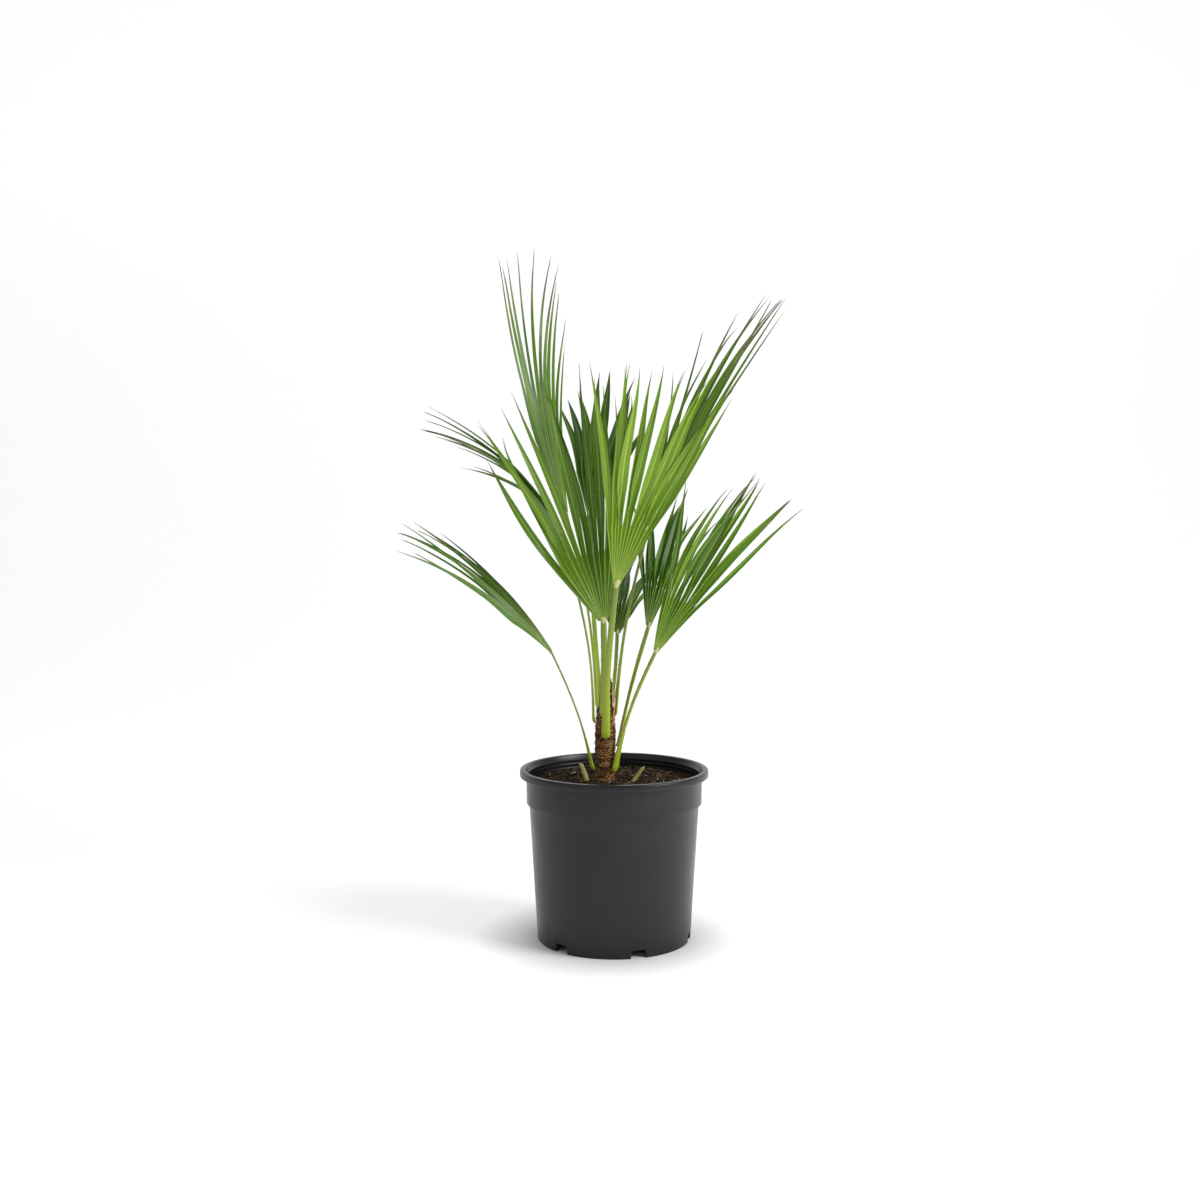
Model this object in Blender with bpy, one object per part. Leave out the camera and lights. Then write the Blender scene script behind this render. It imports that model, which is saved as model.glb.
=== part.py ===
"""Young European fan palm (Chamaerops humilis) in a round black nursery pot.

Sizes are in metres and angles in degrees. +Z is up and the plant is seen from -Y.
The origin is on the pot's axis, at the flat underside that the pot stands on.
"""
import math
import random

import bmesh
import bpy
import numpy as np

# Pot
POT_HEIGHT = 0.190
RIM_RADIUS = 0.105
RIM_OPENING_RADIUS = 0.098
LIP_HEIGHT = 0.008
COLLAR_RADIUS = 0.0975
BODY_TOP_RADIUS = 0.0942
BASE_RADIUS = 0.0853
COLLAR_FOOT = 0.1525
WALL = 0.0022
FOOT_RING_WIDTH = 0.0038
CHANNEL_HEIGHT = 0.0095
CHANNEL_INNER_RADIUS = 0.0600
NOTCH_COUNT = 6
NOTCH_HEIGHT = 0.0088
NOTCH_HALF_ANGLE = 6.0
NOTCH_SLOPE_ANGLE = 1.2
FIRST_NOTCH_ANGLE = 17.5

# Soil
GAP = 0.0003
SOIL_TOP = 0.1760
SOIL_EDGE_DROP = 0.0022
SOIL_FLAT_RADIUS = 0.046
SOIL_COLUMNS = 36

# Trunk: heights above the soil and radii, with a flare at the soil
TRUNK_X = -0.0105
TRUNK_LEAN = 0.0012
TRUNK_HEIGHT = 0.086
TRUNK_PROFILE = ((0.0, 0.0110), (0.009, 0.0096), (0.030, 0.0106), (0.050, 0.0109), (0.070, 0.0096), (0.086, 0.0072))
TRUNK_SIDES = 14

# Fans and petioles
FAN_START = 0.010
FAN_THICKNESS_RATIO = 1.0 / 95.0
UNITED_SHARE = 0.30
LEAFLET_HALF_WIDTH = 0.0052
LEAFLET_TIP_HALF_WIDTH = 0.0009
LEAFLET_GAP_SHARE = 0.10
ANGLE_JITTER = 0.5
LENGTH_JITTER = 0.06
PETIOLE_SIDES = 8
PETIOLE_STATIONS = 7

# Each frond in turn: where its petiole leaves the trunk, the hub where its blade
# starts, the middle rib's reach, the bend it has gained at its tip, the way its blade
# faces, and the angles, count and shortening of the leaflets at its two sides.
FRONDS = {
    "front_left": dict(
        foot_angle=-105, foot_height=0.248, foot_size=(0.0080, 0.0050), neck_size=(0.0066, 0.0034),
        hub=(-0.012, -0.028, 0.357), bow=0.001, reach=(-0.068, -0.020, 0.266), bend=(0.006, -0.012, 0.006),
        face=-90, spread=(-24, 24), shorten=(0.16, 0.20), leaflets=12, seed=1),
    "front_right": dict(
        foot_angle=-88, foot_height=0.224, foot_size=(0.0112, 0.0056), neck_size=(0.0066, 0.0036),
        hub=(0.002, -0.054, 0.398), bow=-0.003, reach=(0.054, -0.034, 0.232), bend=(0.012, -0.016, -0.004),
        face=-88, spread=(-17, 18), shorten=(0.00, 0.02), leaflets=12, seed=2),
    "tall_left": dict(
        foot_angle=-148, foot_height=0.258, foot_size=(0.0070, 0.0050), neck_size=(0.0052, 0.0036),
        hub=(-0.053, 0.006, 0.474), bow=0.007, reach=(-0.094, 0.020, 0.312), bend=(0.048, 0.024, -0.008),
        face=-18, spread=(-27, 14), shorten=(0.24, 0.07), leaflets=11, seed=3),
    "back_left": dict(
        foot_angle=115, foot_height=0.254, foot_size=(0.0066, 0.0048), neck_size=(0.0050, 0.0034),
        hub=(-0.028, 0.040, 0.473), bow=-0.002, reach=(0.000, 0.070, 0.194), bend=(-0.010, 0.066, -0.030),
        face=-90, spread=(-28, 10), shorten=(0.18, 0.10), leaflets=9, seed=4),
    "arching_left": dict(
        foot_angle=180, foot_height=0.240, foot_size=(0.0062, 0.0048), neck_size=(0.0048, 0.0034),
        hub=(-0.045, 0.016, 0.402), bow=0.006, reach=(-0.052, 0.022, 0.270), bend=(-0.136, 0.012, -0.082),
        face=-8, spread=(-36, 10), shorten=(0.04, 0.05), leaflets=10, seed=5),
    "low_left": dict(
        foot_angle=200, foot_height=0.188, foot_size=(0.0084, 0.0064), neck_size=(0.0036, 0.0030),
        hub=(-0.069, -0.006, 0.320), bow=0.005, reach=(-0.158, -0.006, 0.206), bend=(-0.014, -0.004, -0.062),
        face=-3, spread=(-32, 32), shorten=(0.08, 0.08), leaflets=11, seed=6),
    "low_right": dict(
        foot_angle=-40, foot_height=0.186, foot_size=(0.0120, 0.0068), neck_size=(0.0040, 0.0032),
        hub=(0.046, -0.012, 0.322), bow=-0.006, reach=(0.098, -0.022, 0.212), bend=(0.024, -0.008, -0.020),
        face=-84, spread=(-15, 15), shorten=(0.02, 0.16), leaflets=11, seed=7),
    "back_right": dict(
        foot_angle=12, foot_height=0.214, foot_size=(0.0078, 0.0060), neck_size=(0.0044, 0.0034),
        hub=(0.039, 0.022, 0.347), bow=-0.002, reach=(0.030, 0.070, 0.162), bend=(0.016, 0.030, -0.012),
        face=-84, spread=(-12, 15), shorten=(0.08, 0.06), leaflets=9, seed=8),
    "low_back": dict(
        foot_angle=75, foot_height=0.240, foot_size=(0.0062, 0.0046), neck_size=(0.0042, 0.0032),
        hub=(0.004, 0.040, 0.338), bow=0.002, reach=(0.014, 0.124, 0.118), bend=(0.010, 0.050, -0.034),
        face=-80, spread=(-16, 28), shorten=(0.12, 0.12), leaflets=11, seed=9),
    "tall_right": dict(
        foot_angle=32, foot_height=0.246, foot_size=(0.0066, 0.0048), neck_size=(0.0048, 0.0034),
        hub=(0.042, 0.010, 0.470), bow=-0.007, reach=(0.124, 0.030, 0.288), bend=(0.034, 0.010, -0.022),
        face=-160, spread=(-14, 34), shorten=(0.14, 0.26), leaflets=12, seed=10),
}

# Cut stubs of old petioles: foot, lean of the top, sizes across
STUBS = {
    "stub_left": dict(foot=(-0.030, -0.006), top=(-0.037, -0.008), height=0.020, size=(0.0046, 0.0028)),
    "stub_right": dict(foot=(0.021, -0.008), top=(0.032, -0.012), height=0.017, size=(0.0044, 0.0030)),
}

POT_COLOR = (0.026, 0.026, 0.027)
SOIL_COLOR = (0.024, 0.016, 0.010)
TRUNK_COLOR = (0.190, 0.080, 0.024)
PETIOLE_COLOR = (0.260, 0.370, 0.035)
FAN_COLOR = (0.105, 0.225, 0.020)
STUB_COLOR = (0.430, 0.360, 0.120)


def clear_scene():
    for item in list(bpy.data.objects):
        bpy.data.objects.remove(item, do_unlink=True)


def unit(vector):
    vector = np.asarray(vector, float)
    return vector / np.linalg.norm(vector)


def make_object(name, points, faces, color, roughness, smooth=False):
    """A closed mesh object with its own material."""
    mesh = bpy.data.meshes.new(name)
    mesh.from_pydata([tuple(point) for point in points], [], faces)
    work = bmesh.new()
    work.from_mesh(mesh)
    bmesh.ops.recalc_face_normals(work, faces=work.faces)
    if work.calc_volume(signed=True) < 0.0:
        bmesh.ops.reverse_faces(work, faces=work.faces)
    work.to_mesh(mesh)
    work.free()
    for polygon in mesh.polygons:
        polygon.use_smooth = smooth
    material = bpy.data.materials.new(name + "_material")
    material.use_nodes = True
    shader = material.node_tree.nodes["Principled BSDF"]
    shader.inputs["Base Color"].default_value = (*color, 1.0)
    shader.inputs["Roughness"].default_value = roughness
    shader.inputs["Metallic"].default_value = 0.0
    mesh.materials.append(material)
    item = bpy.data.objects.new(name, mesh)
    bpy.context.scene.collection.objects.link(item)
    return item


def loft(rings):
    """Points and faces of a closed tube through rings of equal count, with flat ends."""
    count = len(rings[0])
    points = [point for ring in rings for point in ring]
    faces = []
    for row in range(len(rings) - 1):
        for side in range(count):
            after = (side + 1) % count
            low = row * count
            high = low + count
            faces.append((low + side, low + after, high + after, high + side))
    faces.append(tuple(range(count - 1, -1, -1)))
    last = (len(rings) - 1) * count
    faces.append(tuple(range(last, last + count)))
    return points, faces


def turn(rings):
    """Points and faces of a turned body whose first and last rings close on the axis."""
    count = len(rings[0])
    points = [point for ring in rings for point in ring]
    faces = []
    for row in range(len(rings) - 1):
        for side in range(count):
            after = (side + 1) % count
            low = row * count
            high = low + count
            faces.append((low + side, low + after, high + after, high + side))
    first_centre = len(points)
    points.append((0.0, 0.0, rings[0][0][2]))
    last_centre = len(points)
    points.append((0.0, 0.0, rings[-1][0][2]))
    last = (len(rings) - 1) * count
    for side in range(count):
        after = (side + 1) % count
        faces.append((first_centre, side, after))
        faces.append((last_centre, last + after, last + side))
    return points, faces


def around(radius, height, angle):
    """A point at an angle from the front (-Y) towards +X."""
    turned = math.radians(angle)
    return (radius * math.sin(turned), -radius * math.cos(turned), height)


def pot_columns():
    """Angles round the pot, each with the share of the notch height cut there."""
    columns = []
    sector = 360.0 / NOTCH_COUNT
    plain = 7
    for notch in range(NOTCH_COUNT):
        centre = FIRST_NOTCH_ANGLE + notch * sector
        inner = NOTCH_HALF_ANGLE - NOTCH_SLOPE_ANGLE
        columns.append((centre - NOTCH_HALF_ANGLE, 0.0))
        columns.append((centre - inner, 1.0))
        columns.append((centre, 1.0))
        columns.append((centre + inner, 1.0))
        free = sector - 2.0 * NOTCH_HALF_ANGLE
        for step in range(plain - 1):
            columns.append((centre + NOTCH_HALF_ANGLE + free * step / (plain - 1), 0.0))
    return columns


def pot_inner_wall():
    """Radius and height up the inside of the pot, from the raised base to the rim."""
    return (
        (BASE_RADIUS - WALL - 0.0006, CHANNEL_HEIGHT + WALL),
        (BODY_TOP_RADIUS - WALL, COLLAR_FOOT - 0.0035),
        (COLLAR_RADIUS - WALL - 0.0005, COLLAR_FOOT + 0.0010),
        (COLLAR_RADIUS - WALL, POT_HEIGHT - LIP_HEIGHT),
        (RIM_OPENING_RADIUS, POT_HEIGHT - 0.0012),
    )


def build_pot():
    ring_inner = BASE_RADIUS - FOOT_RING_WIDTH
    outline = [
        (CHANNEL_INNER_RADIUS - 0.0030, 0.0, False),
        (CHANNEL_INNER_RADIUS, CHANNEL_HEIGHT, False),
        (ring_inner - 0.0008, CHANNEL_HEIGHT, False),
        (ring_inner, 0.0, True),
        (BASE_RADIUS, 0.0, True),
        (BASE_RADIUS + 0.0007, 0.0115, False),
        (BODY_TOP_RADIUS, COLLAR_FOOT - 0.0015, False),
        (COLLAR_RADIUS - 0.0005, COLLAR_FOOT + 0.0015, False),
        (COLLAR_RADIUS, POT_HEIGHT - LIP_HEIGHT - 0.0006, False),
        (RIM_RADIUS - 0.0012, POT_HEIGHT - LIP_HEIGHT, False),
        (RIM_RADIUS, POT_HEIGHT - LIP_HEIGHT + 0.0015, False),
        (RIM_RADIUS - 0.0002, POT_HEIGHT - 0.0012, False),
        (RIM_RADIUS - 0.0016, POT_HEIGHT, False),
        (RIM_OPENING_RADIUS + 0.0014, POT_HEIGHT, False),
    ]
    outline += [(radius, height, False) for radius, height in reversed(pot_inner_wall())]
    outline.append((CHANNEL_INNER_RADIUS - WALL, CHANNEL_HEIGHT + WALL, False))
    outline.append((CHANNEL_INNER_RADIUS - 0.0030 - WALL, WALL, False))
    columns = pot_columns()
    rings = []
    for radius, height, notched in outline:
        ring = []
        for angle, cut in columns:
            level = height + NOTCH_HEIGHT * cut if notched else height
            ring.append(around(radius, level, angle))
        rings.append(ring)
    points, faces = turn(rings)
    return make_object("pot", points, faces, POT_COLOR, 0.38, smooth=False)


def build_soil():
    """Potting mix that fills the pot's inside, flat near the trunk and lower at the wall."""
    dice = random.Random(21)
    inner = pot_inner_wall()
    edge_height = SOIL_TOP - SOIL_EDGE_DROP
    outline = [
        (CHANNEL_INNER_RADIUS - 0.0030 - WALL - GAP, WALL + GAP, 0.0),
        (CHANNEL_INNER_RADIUS - WALL - GAP, CHANNEL_HEIGHT + WALL + GAP, 0.0),
        (inner[0][0] - GAP, inner[0][1] + GAP, 0.0),
        (inner[1][0] - GAP, inner[1][1], 0.0),
        (inner[2][0] - GAP, inner[2][1] + GAP, 0.0),
        (inner[2][0] - GAP, edge_height, 0.0007),
        (0.078, edge_height + 0.0008, 0.0012),
        (0.062, SOIL_TOP - 0.0006, 0.0010),
        (SOIL_FLAT_RADIUS, SOIL_TOP, 0.0),
    ]
    rings = []
    for radius, height, rough in outline:
        ring = []
        for column in range(SOIL_COLUMNS):
            level = height + dice.uniform(-rough, rough)
            ring.append(around(radius, level, 360.0 * column / SOIL_COLUMNS))
        rings.append(ring)
    points, faces = turn(rings)
    return make_object("soil", points, faces, SOIL_COLOR, 0.95)


def trunk_radius(height):
    """Trunk radius at a height above the pot's underside."""
    heights = [SOIL_TOP + step for step, _ in TRUNK_PROFILE]
    radii = [radius for _, radius in TRUNK_PROFILE]
    return float(np.interp(height, heights, radii))


def trunk_centre(height):
    share = (height - SOIL_TOP) / TRUNK_HEIGHT
    return np.array([TRUNK_X + TRUNK_LEAN * share, 0.0, height])


def build_trunk():
    rings = []
    for step, radius in TRUNK_PROFILE:
        height = SOIL_TOP + GAP + step
        centre = trunk_centre(height)
        ring = []
        for side in range(TRUNK_SIDES):
            angle = 2.0 * math.pi * side / TRUNK_SIDES
            ring.append(centre + radius * np.array([math.cos(angle), math.sin(angle), 0.0]))
        rings.append(ring)
    points, faces = loft(rings)
    return make_object("trunk", points, faces, TRUNK_COLOR, 0.9, smooth=True)


def fan_frame(frond):
    """The middle rib's direction and the direction that the leaflets spread along."""
    along = unit(frond["reach"])
    face = math.radians(frond["face"])
    across = unit(np.cross((math.cos(face), math.sin(face), 0.0), along))
    return along, across


def fan_point(frond, angle, distance):
    """A point of the blade, at an angle from its middle rib and a distance from its apex.

    The ribs run straight out from an apex just behind the hub, and the bend grows with
    the square of the distance past the blade's foot.
    """
    along, across = fan_frame(frond)
    length = np.linalg.norm(frond["reach"])
    turned = math.radians(angle)
    ray = math.cos(turned) * along + math.sin(turned) * across
    past = max(distance - FAN_START, 0.0) / length
    apex = np.array(frond["hub"]) - along * FAN_START
    return apex + ray * distance + np.array(frond["bend"]) * past ** 2


def fan_normal(frond, angle, distance):
    step = 0.001
    outward = fan_point(frond, angle, distance + step) - fan_point(frond, angle, distance)
    sideways = fan_point(frond, angle + 0.5, distance) - fan_point(frond, angle - 0.5, distance)
    return unit(np.cross(outward, sideways))


def leaflet_rays(frond):
    """Angle and length of each leaflet's rib, from one side of the fan to the other."""
    dice = random.Random(frond["seed"])
    low, high = frond["spread"]
    count = frond["leaflets"]
    length = np.linalg.norm(frond["reach"])
    rays = []
    for index in range(count):
        share = index / (count - 1)
        side = 2.0 * share - 1.0
        shorten = frond["shorten"][0] if side < 0.0 else frond["shorten"][1]
        angle = low + (high - low) * share + dice.uniform(-ANGLE_JITTER, ANGLE_JITTER)
        reach = length * (1.0 - shorten * side ** 2) * (1.0 - dice.uniform(0.0, LENGTH_JITTER))
        rays.append((angle, FAN_START + reach))
    return rays


def build_fan(name, frond):
    """A thin blade, whole near its foot and cut to the rib between its leaflets."""
    rays = leaflet_rays(frond)
    length = np.linalg.norm(frond["reach"])
    half_thickness = length * FAN_THICKNESS_RATIO / 2.0
    split = UNITED_SHARE * length
    angles = [angle for angle, _ in rays]
    edges = [(a + b) / 2.0 for a, b in zip(angles, angles[1:])]
    edges = [2.0 * angles[0] - edges[0]] + edges + [2.0 * angles[-1] - edges[-1]]
    places = []
    sheet = []

    def place(angle, distance):
        places.append((angle, distance))
        return len(places) - 1

    united = []
    for row in range(3):
        share = row / 2.0
        ring = []
        for angle in edges:
            foot = FAN_START / math.cos(math.radians(angle))
            ring.append(place(angle, foot + (split - foot) * share))
        united.append(ring)
    for low, high in zip(united, united[1:]):
        for index in range(len(rays)):
            sheet.append((low[index], low[index + 1], high[index + 1], high[index]))

    for index, (angle, reach) in enumerate(rays):
        left, right = united[-1][index], united[-1][index + 1]
        room = (edges[index + 1] - edges[index]) / 2.0 * (1.0 - LEAFLET_GAP_SHARE)
        for share in (0.12, 0.40, 0.72, 1.0):
            distance = split + (reach - split) * share
            blade = LEAFLET_HALF_WIDTH * (1.0 - share) ** 0.7 + LEAFLET_TIP_HALF_WIDTH
            half = min(math.degrees(blade / distance), room)
            new_left = place(angle - half, distance)
            new_right = place(angle + half, distance)
            sheet.append((left, right, new_right, new_left))
            left, right = new_left, new_right

    points = []
    for sign in (1.0, -1.0):
        for angle, distance in places:
            offset = fan_normal(frond, angle, distance) * half_thickness * sign
            points.append(fan_point(frond, angle, distance) + offset)
    below = len(places)
    faces = list(sheet)
    faces += [tuple(index + below for index in reversed(face)) for face in sheet]
    directed = {(face[i], face[(i + 1) % 4]) for face in sheet for i in range(4)}
    for start, end in sorted(directed):
        if (end, start) not in directed:
            faces.append((end, start, start + below, end + below))
    return make_object("fan_" + name, points, faces, FAN_COLOR, 0.5)


def build_petiole(name, frond):
    """A flattened stalk from the trunk's side to the blade's foot."""
    along, across = fan_frame(frond)
    angle = math.radians(frond["foot_angle"])
    outward = np.array([math.cos(angle), math.sin(angle), 0.0])
    sideways = np.array([-math.sin(angle), math.cos(angle), 0.0])
    if np.dot(sideways, across) < 0.0:
        across = -across
    height = frond["foot_height"]
    foot = trunk_centre(height) + outward * (trunk_radius(height) + frond["foot_size"][1] / 2.0 + GAP)
    end = np.array(frond["hub"]) - along * GAP
    line = end - foot
    bow = np.array([frond["bow"], 0.0, 0.0])

    def centre(share):
        return foot + line * share + bow * math.sin(math.pi * share)

    rings = []
    for station in range(PETIOLE_STATIONS):
        share = station / (PETIOLE_STATIONS - 1)
        tangent = unit(centre(share + 0.01) - centre(share - 0.01))
        wide = sideways * (1.0 - share) + across * share
        if station == PETIOLE_STATIONS - 1:
            tangent = along
        wide = unit(wide - tangent * np.dot(wide, tangent))
        deep = np.cross(tangent, wide)
        slim = min(1.0, share * 2.6) ** 0.6
        width = frond["foot_size"][0] + (frond["neck_size"][0] - frond["foot_size"][0]) * slim
        depth = frond["foot_size"][1] + (frond["neck_size"][1] - frond["foot_size"][1]) * slim
        ring = []
        for side in range(PETIOLE_SIDES):
            turned = 2.0 * math.pi * (side + 0.5) / PETIOLE_SIDES
            spot = centre(share) + wide * (width / 2.0 * math.cos(turned)) + deep * (depth / 2.0 * math.sin(turned))
            ring.append(spot)
        rings.append(ring)
    points, faces = loft(rings)
    return make_object("petiole_" + name, points, faces, PETIOLE_COLOR, 0.45, smooth=True)


def build_stub(name, stub):
    """A short flat stub of an old petiole, standing on the soil."""
    rings = []
    base = SOIL_TOP + GAP
    for share, scale in ((0.0, 1.0), (0.6, 0.9), (1.0, 0.7)):
        x = stub["foot"][0] + (stub["top"][0] - stub["foot"][0]) * share
        y = stub["foot"][1] + (stub["top"][1] - stub["foot"][1]) * share
        ring = []
        for side in range(8):
            turned = 2.0 * math.pi * side / 8
            ring.append((
                x + stub["size"][0] / 2.0 * scale * math.cos(turned),
                y + stub["size"][1] / 2.0 * scale * math.sin(turned),
                base + stub["height"] * share,
            ))
        rings.append(ring)
    points, faces = loft(rings)
    return make_object(name, points, faces, STUB_COLOR, 0.7)


def main():
    clear_scene()
    build_pot()
    build_soil()
    build_trunk()
    for name, stub in STUBS.items():
        build_stub(name, stub)
    for name, frond in FRONDS.items():
        build_petiole(name, frond)
        build_fan(name, frond)


main()
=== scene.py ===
"""Looks of a young European fan palm in a round black nursery pot.

Sizes are in metres and angles in degrees unless a name says otherwise. +Z is up, and
the camera looks along +Y. The origin is on the pot's axis, at its flat underside.
Every shape is a set of closed strands: rings of points carried along a path.
"""
import math
import random

import bmesh
import bpy
import numpy as np
from bpy.props import FloatProperty, FloatVectorProperty, IntProperty, PointerProperty
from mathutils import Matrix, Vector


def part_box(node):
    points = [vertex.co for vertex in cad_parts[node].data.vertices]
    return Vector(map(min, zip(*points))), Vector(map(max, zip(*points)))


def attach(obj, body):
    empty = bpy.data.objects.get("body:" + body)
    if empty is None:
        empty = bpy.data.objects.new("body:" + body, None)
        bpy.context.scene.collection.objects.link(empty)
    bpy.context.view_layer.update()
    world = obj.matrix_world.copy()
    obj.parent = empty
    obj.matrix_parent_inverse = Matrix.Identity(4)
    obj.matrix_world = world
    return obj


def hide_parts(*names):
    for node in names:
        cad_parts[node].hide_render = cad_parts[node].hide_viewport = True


bl_info = {
    "name": "Potted fan palm",
    "version": (1, 0, 0),
    "blender": (4, 5, 0),
    "location": "3D View > Sidebar > Fan palm",
    "description": "Builds the looks of a young fan palm in a black nursery pot",
    "category": "Object",
}

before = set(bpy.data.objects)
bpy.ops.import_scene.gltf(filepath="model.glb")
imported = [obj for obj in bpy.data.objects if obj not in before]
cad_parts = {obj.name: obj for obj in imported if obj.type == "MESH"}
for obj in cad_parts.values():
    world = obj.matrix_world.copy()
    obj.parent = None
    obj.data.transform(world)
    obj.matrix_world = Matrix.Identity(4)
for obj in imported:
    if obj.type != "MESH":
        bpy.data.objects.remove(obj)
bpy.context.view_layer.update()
POT_LOW, POT_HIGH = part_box("pot")
TRUNK_LOW, TRUNK_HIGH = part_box("trunk")
BODY = "root"
GAP = 0.0003

# The rule that the fronds grow by
FAN_START = 0.010
UNITED_SHARE = 0.30
ANGLE_JITTER = 0.5
LENGTH_JITTER = 0.06
SOIL_TOP = 0.1760
TRUNK_X = -0.0105
TRUNK_LEAN = 0.0012
TRUNK_HEIGHT = 0.086
TRUNK_PROFILE = (
    (0.0, 0.0110), (0.009, 0.0096), (0.030, 0.0106), (0.050, 0.0109), (0.070, 0.0096), (0.086, 0.0072))

# Each frond in turn: where its petiole leaves the trunk and how thick it is there and at
# its neck, the hub where its blade starts, the petiole's sideways bow, the middle rib's
# reach and the bend it has gained at its tip, the way its blade faces, and the spread,
# shortening and count of its leaflets. The fans of low_left and low_right open a little
# less than their solids do.
FRONDS = {
    "front_left": dict(
        foot_angle=-105, foot_height=0.248, foot_size=(0.0080, 0.0050), neck_size=(0.0066, 0.0034),
        hub=(-0.012, -0.028, 0.357), bow=0.001, reach=(-0.068, -0.020, 0.266), bend=(0.006, -0.012, 0.006),
        face=-90, spread=(-24, 24), shorten=(0.16, 0.20), leaflets=12, seed=1),
    "front_right": dict(
        foot_angle=-88, foot_height=0.224, foot_size=(0.0112, 0.0056), neck_size=(0.0066, 0.0036),
        hub=(0.002, -0.054, 0.398), bow=-0.003, reach=(0.054, -0.034, 0.232), bend=(0.012, -0.016, -0.004),
        face=-88, spread=(-17, 18), shorten=(0.00, 0.02), leaflets=12, seed=2),
    "tall_left": dict(
        foot_angle=-148, foot_height=0.258, foot_size=(0.0070, 0.0050), neck_size=(0.0052, 0.0036),
        hub=(-0.053, 0.006, 0.474), bow=0.007, reach=(-0.094, 0.020, 0.312), bend=(0.048, 0.024, -0.008),
        face=-18, spread=(-27, 14), shorten=(0.24, 0.07), leaflets=11, seed=3),
    "back_left": dict(
        foot_angle=115, foot_height=0.254, foot_size=(0.0066, 0.0048), neck_size=(0.0050, 0.0034),
        hub=(-0.028, 0.040, 0.473), bow=-0.002, reach=(0.000, 0.070, 0.194), bend=(-0.010, 0.066, -0.030),
        face=-90, spread=(-28, 10), shorten=(0.18, 0.10), leaflets=9, seed=4),
    "arching_left": dict(
        foot_angle=180, foot_height=0.240, foot_size=(0.0062, 0.0048), neck_size=(0.0048, 0.0034),
        hub=(-0.045, 0.016, 0.402), bow=0.006, reach=(-0.052, 0.022, 0.270), bend=(-0.136, 0.012, -0.082),
        face=-8, spread=(-36, 10), shorten=(0.04, 0.05), leaflets=10, seed=5),
    "low_left": dict(
        foot_angle=200, foot_height=0.188, foot_size=(0.0084, 0.0064), neck_size=(0.0036, 0.0030),
        hub=(-0.069, -0.006, 0.320), bow=0.005, reach=(-0.158, -0.006, 0.206), bend=(-0.014, -0.004, -0.062),
        face=-3, spread=(-32, 27), shorten=(0.08, 0.08), leaflets=11, seed=6),
    "low_right": dict(
        foot_angle=-40, foot_height=0.186, foot_size=(0.0120, 0.0068), neck_size=(0.0040, 0.0032),
        hub=(0.046, -0.012, 0.322), bow=-0.006, reach=(0.098, -0.022, 0.212), bend=(0.024, -0.008, -0.020),
        face=-84, spread=(-13.2, 15), shorten=(0.05, 0.16), leaflets=11, seed=7),
    "back_right": dict(
        foot_angle=12, foot_height=0.214, foot_size=(0.0078, 0.0060), neck_size=(0.0044, 0.0034),
        hub=(0.039, 0.022, 0.347), bow=-0.002, reach=(0.030, 0.070, 0.162), bend=(0.016, 0.030, -0.012),
        face=-84, spread=(-12, 15), shorten=(0.08, 0.06), leaflets=9, seed=8),
    "low_back": dict(
        foot_angle=75, foot_height=0.240, foot_size=(0.0062, 0.0046), neck_size=(0.0042, 0.0032),
        hub=(0.004, 0.040, 0.338), bow=0.002, reach=(0.014, 0.124, 0.118), bend=(0.010, 0.050, -0.034),
        face=-80, spread=(-16, 28), shorten=(0.12, 0.12), leaflets=11, seed=9),
    "tall_right": dict(
        foot_angle=32, foot_height=0.246, foot_size=(0.0066, 0.0048), neck_size=(0.0048, 0.0034),
        hub=(0.042, 0.010, 0.470), bow=-0.007, reach=(0.124, 0.030, 0.288), bend=(0.034, 0.010, -0.022),
        face=-160, spread=(-14, 34), shorten=(0.14, 0.26), leaflets=12, seed=10),
}

# How each frond looks beyond the rule: its tone from 0, fresh and lit, to 4, shaded, which is
# painted light and shade: the brightest copy of the green is for the front right frond and
# darker copies are for fronds at the back and on the left, away from the key light; the side
# that its pleats rise to; its leaflets' width and unevenness; the slope that their halves
# open to; the share of them that dries; its crest's size; and the share with threads.
LOOK_NAMES = ("tone", "pleat", "width", "stray", "fold_open", "dry", "hastula", "thread")
LOOK_VALUES = {
    "front_left": (2, 1, 1.05, 1.0, 24, 0.1, 0.5, 0.4),
    "front_right": (0, 1, 1.18, 0.9, 16, 0.07, 1.0, 0.3),
    "tall_left": (3, -1, 0.92, 0.9, 34, 0.42, 0.5, 0.6),
    "back_left": (3, 1, 1.25, 1.2, 14, 0.04, 0.4, 0.3),
    "arching_left": (3, -1, 0.9, 0.9, 30, 0.36, 0.4, 0.5),
    "low_left": (3, -1, 0.92, 0.7, 30, 0.24, 0.3, 0.5),
    "low_right": (2, 1, 0.98, 1.1, 26, 0.2, 0.6, 1.0),
    "back_right": (3, 1, 1.0, 1.0, 24, 0.16, 0.4, 0.4),
    "low_back": (4, 1, 0.95, 0.9, 26, 0.1, 0.4, 0.3),
    "tall_right": (2, -1, 0.95, 0.9, 32, 0.42, 0.5, 0.6),
}
LOOKS = {name: dict(zip(LOOK_NAMES, values)) for name, values in LOOK_VALUES.items()}

STUBS = {
    "stub_left": dict(foot=(-0.030, -0.006), top=(-0.037, -0.008), height=0.020, size=(0.0046, 0.0028)),
    "stub_right": dict(foot=(0.021, -0.008), top=(0.032, -0.012), height=0.017, size=(0.0044, 0.0030)),
}


def display(red, green, blue):
    """Scene colour of a display colour of 0 to 255: the usual screen curve, undone."""
    values = np.array([red, green, blue]) / 255.0
    curved = ((values + 0.055) / 1.055) ** 2.4
    return tuple(float(v) for v in np.where(values <= 0.04045, values / 12.92, curved))


def size_property(name, description, default):
    return FloatProperty(
        name=name, description=description, default=default, min=0.0, precision=4, unit="LENGTH")


def angle_property(name, description, default):
    return FloatProperty(
        name=name, description=description, default=math.radians(default), subtype="ANGLE", unit="ROTATION")


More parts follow.
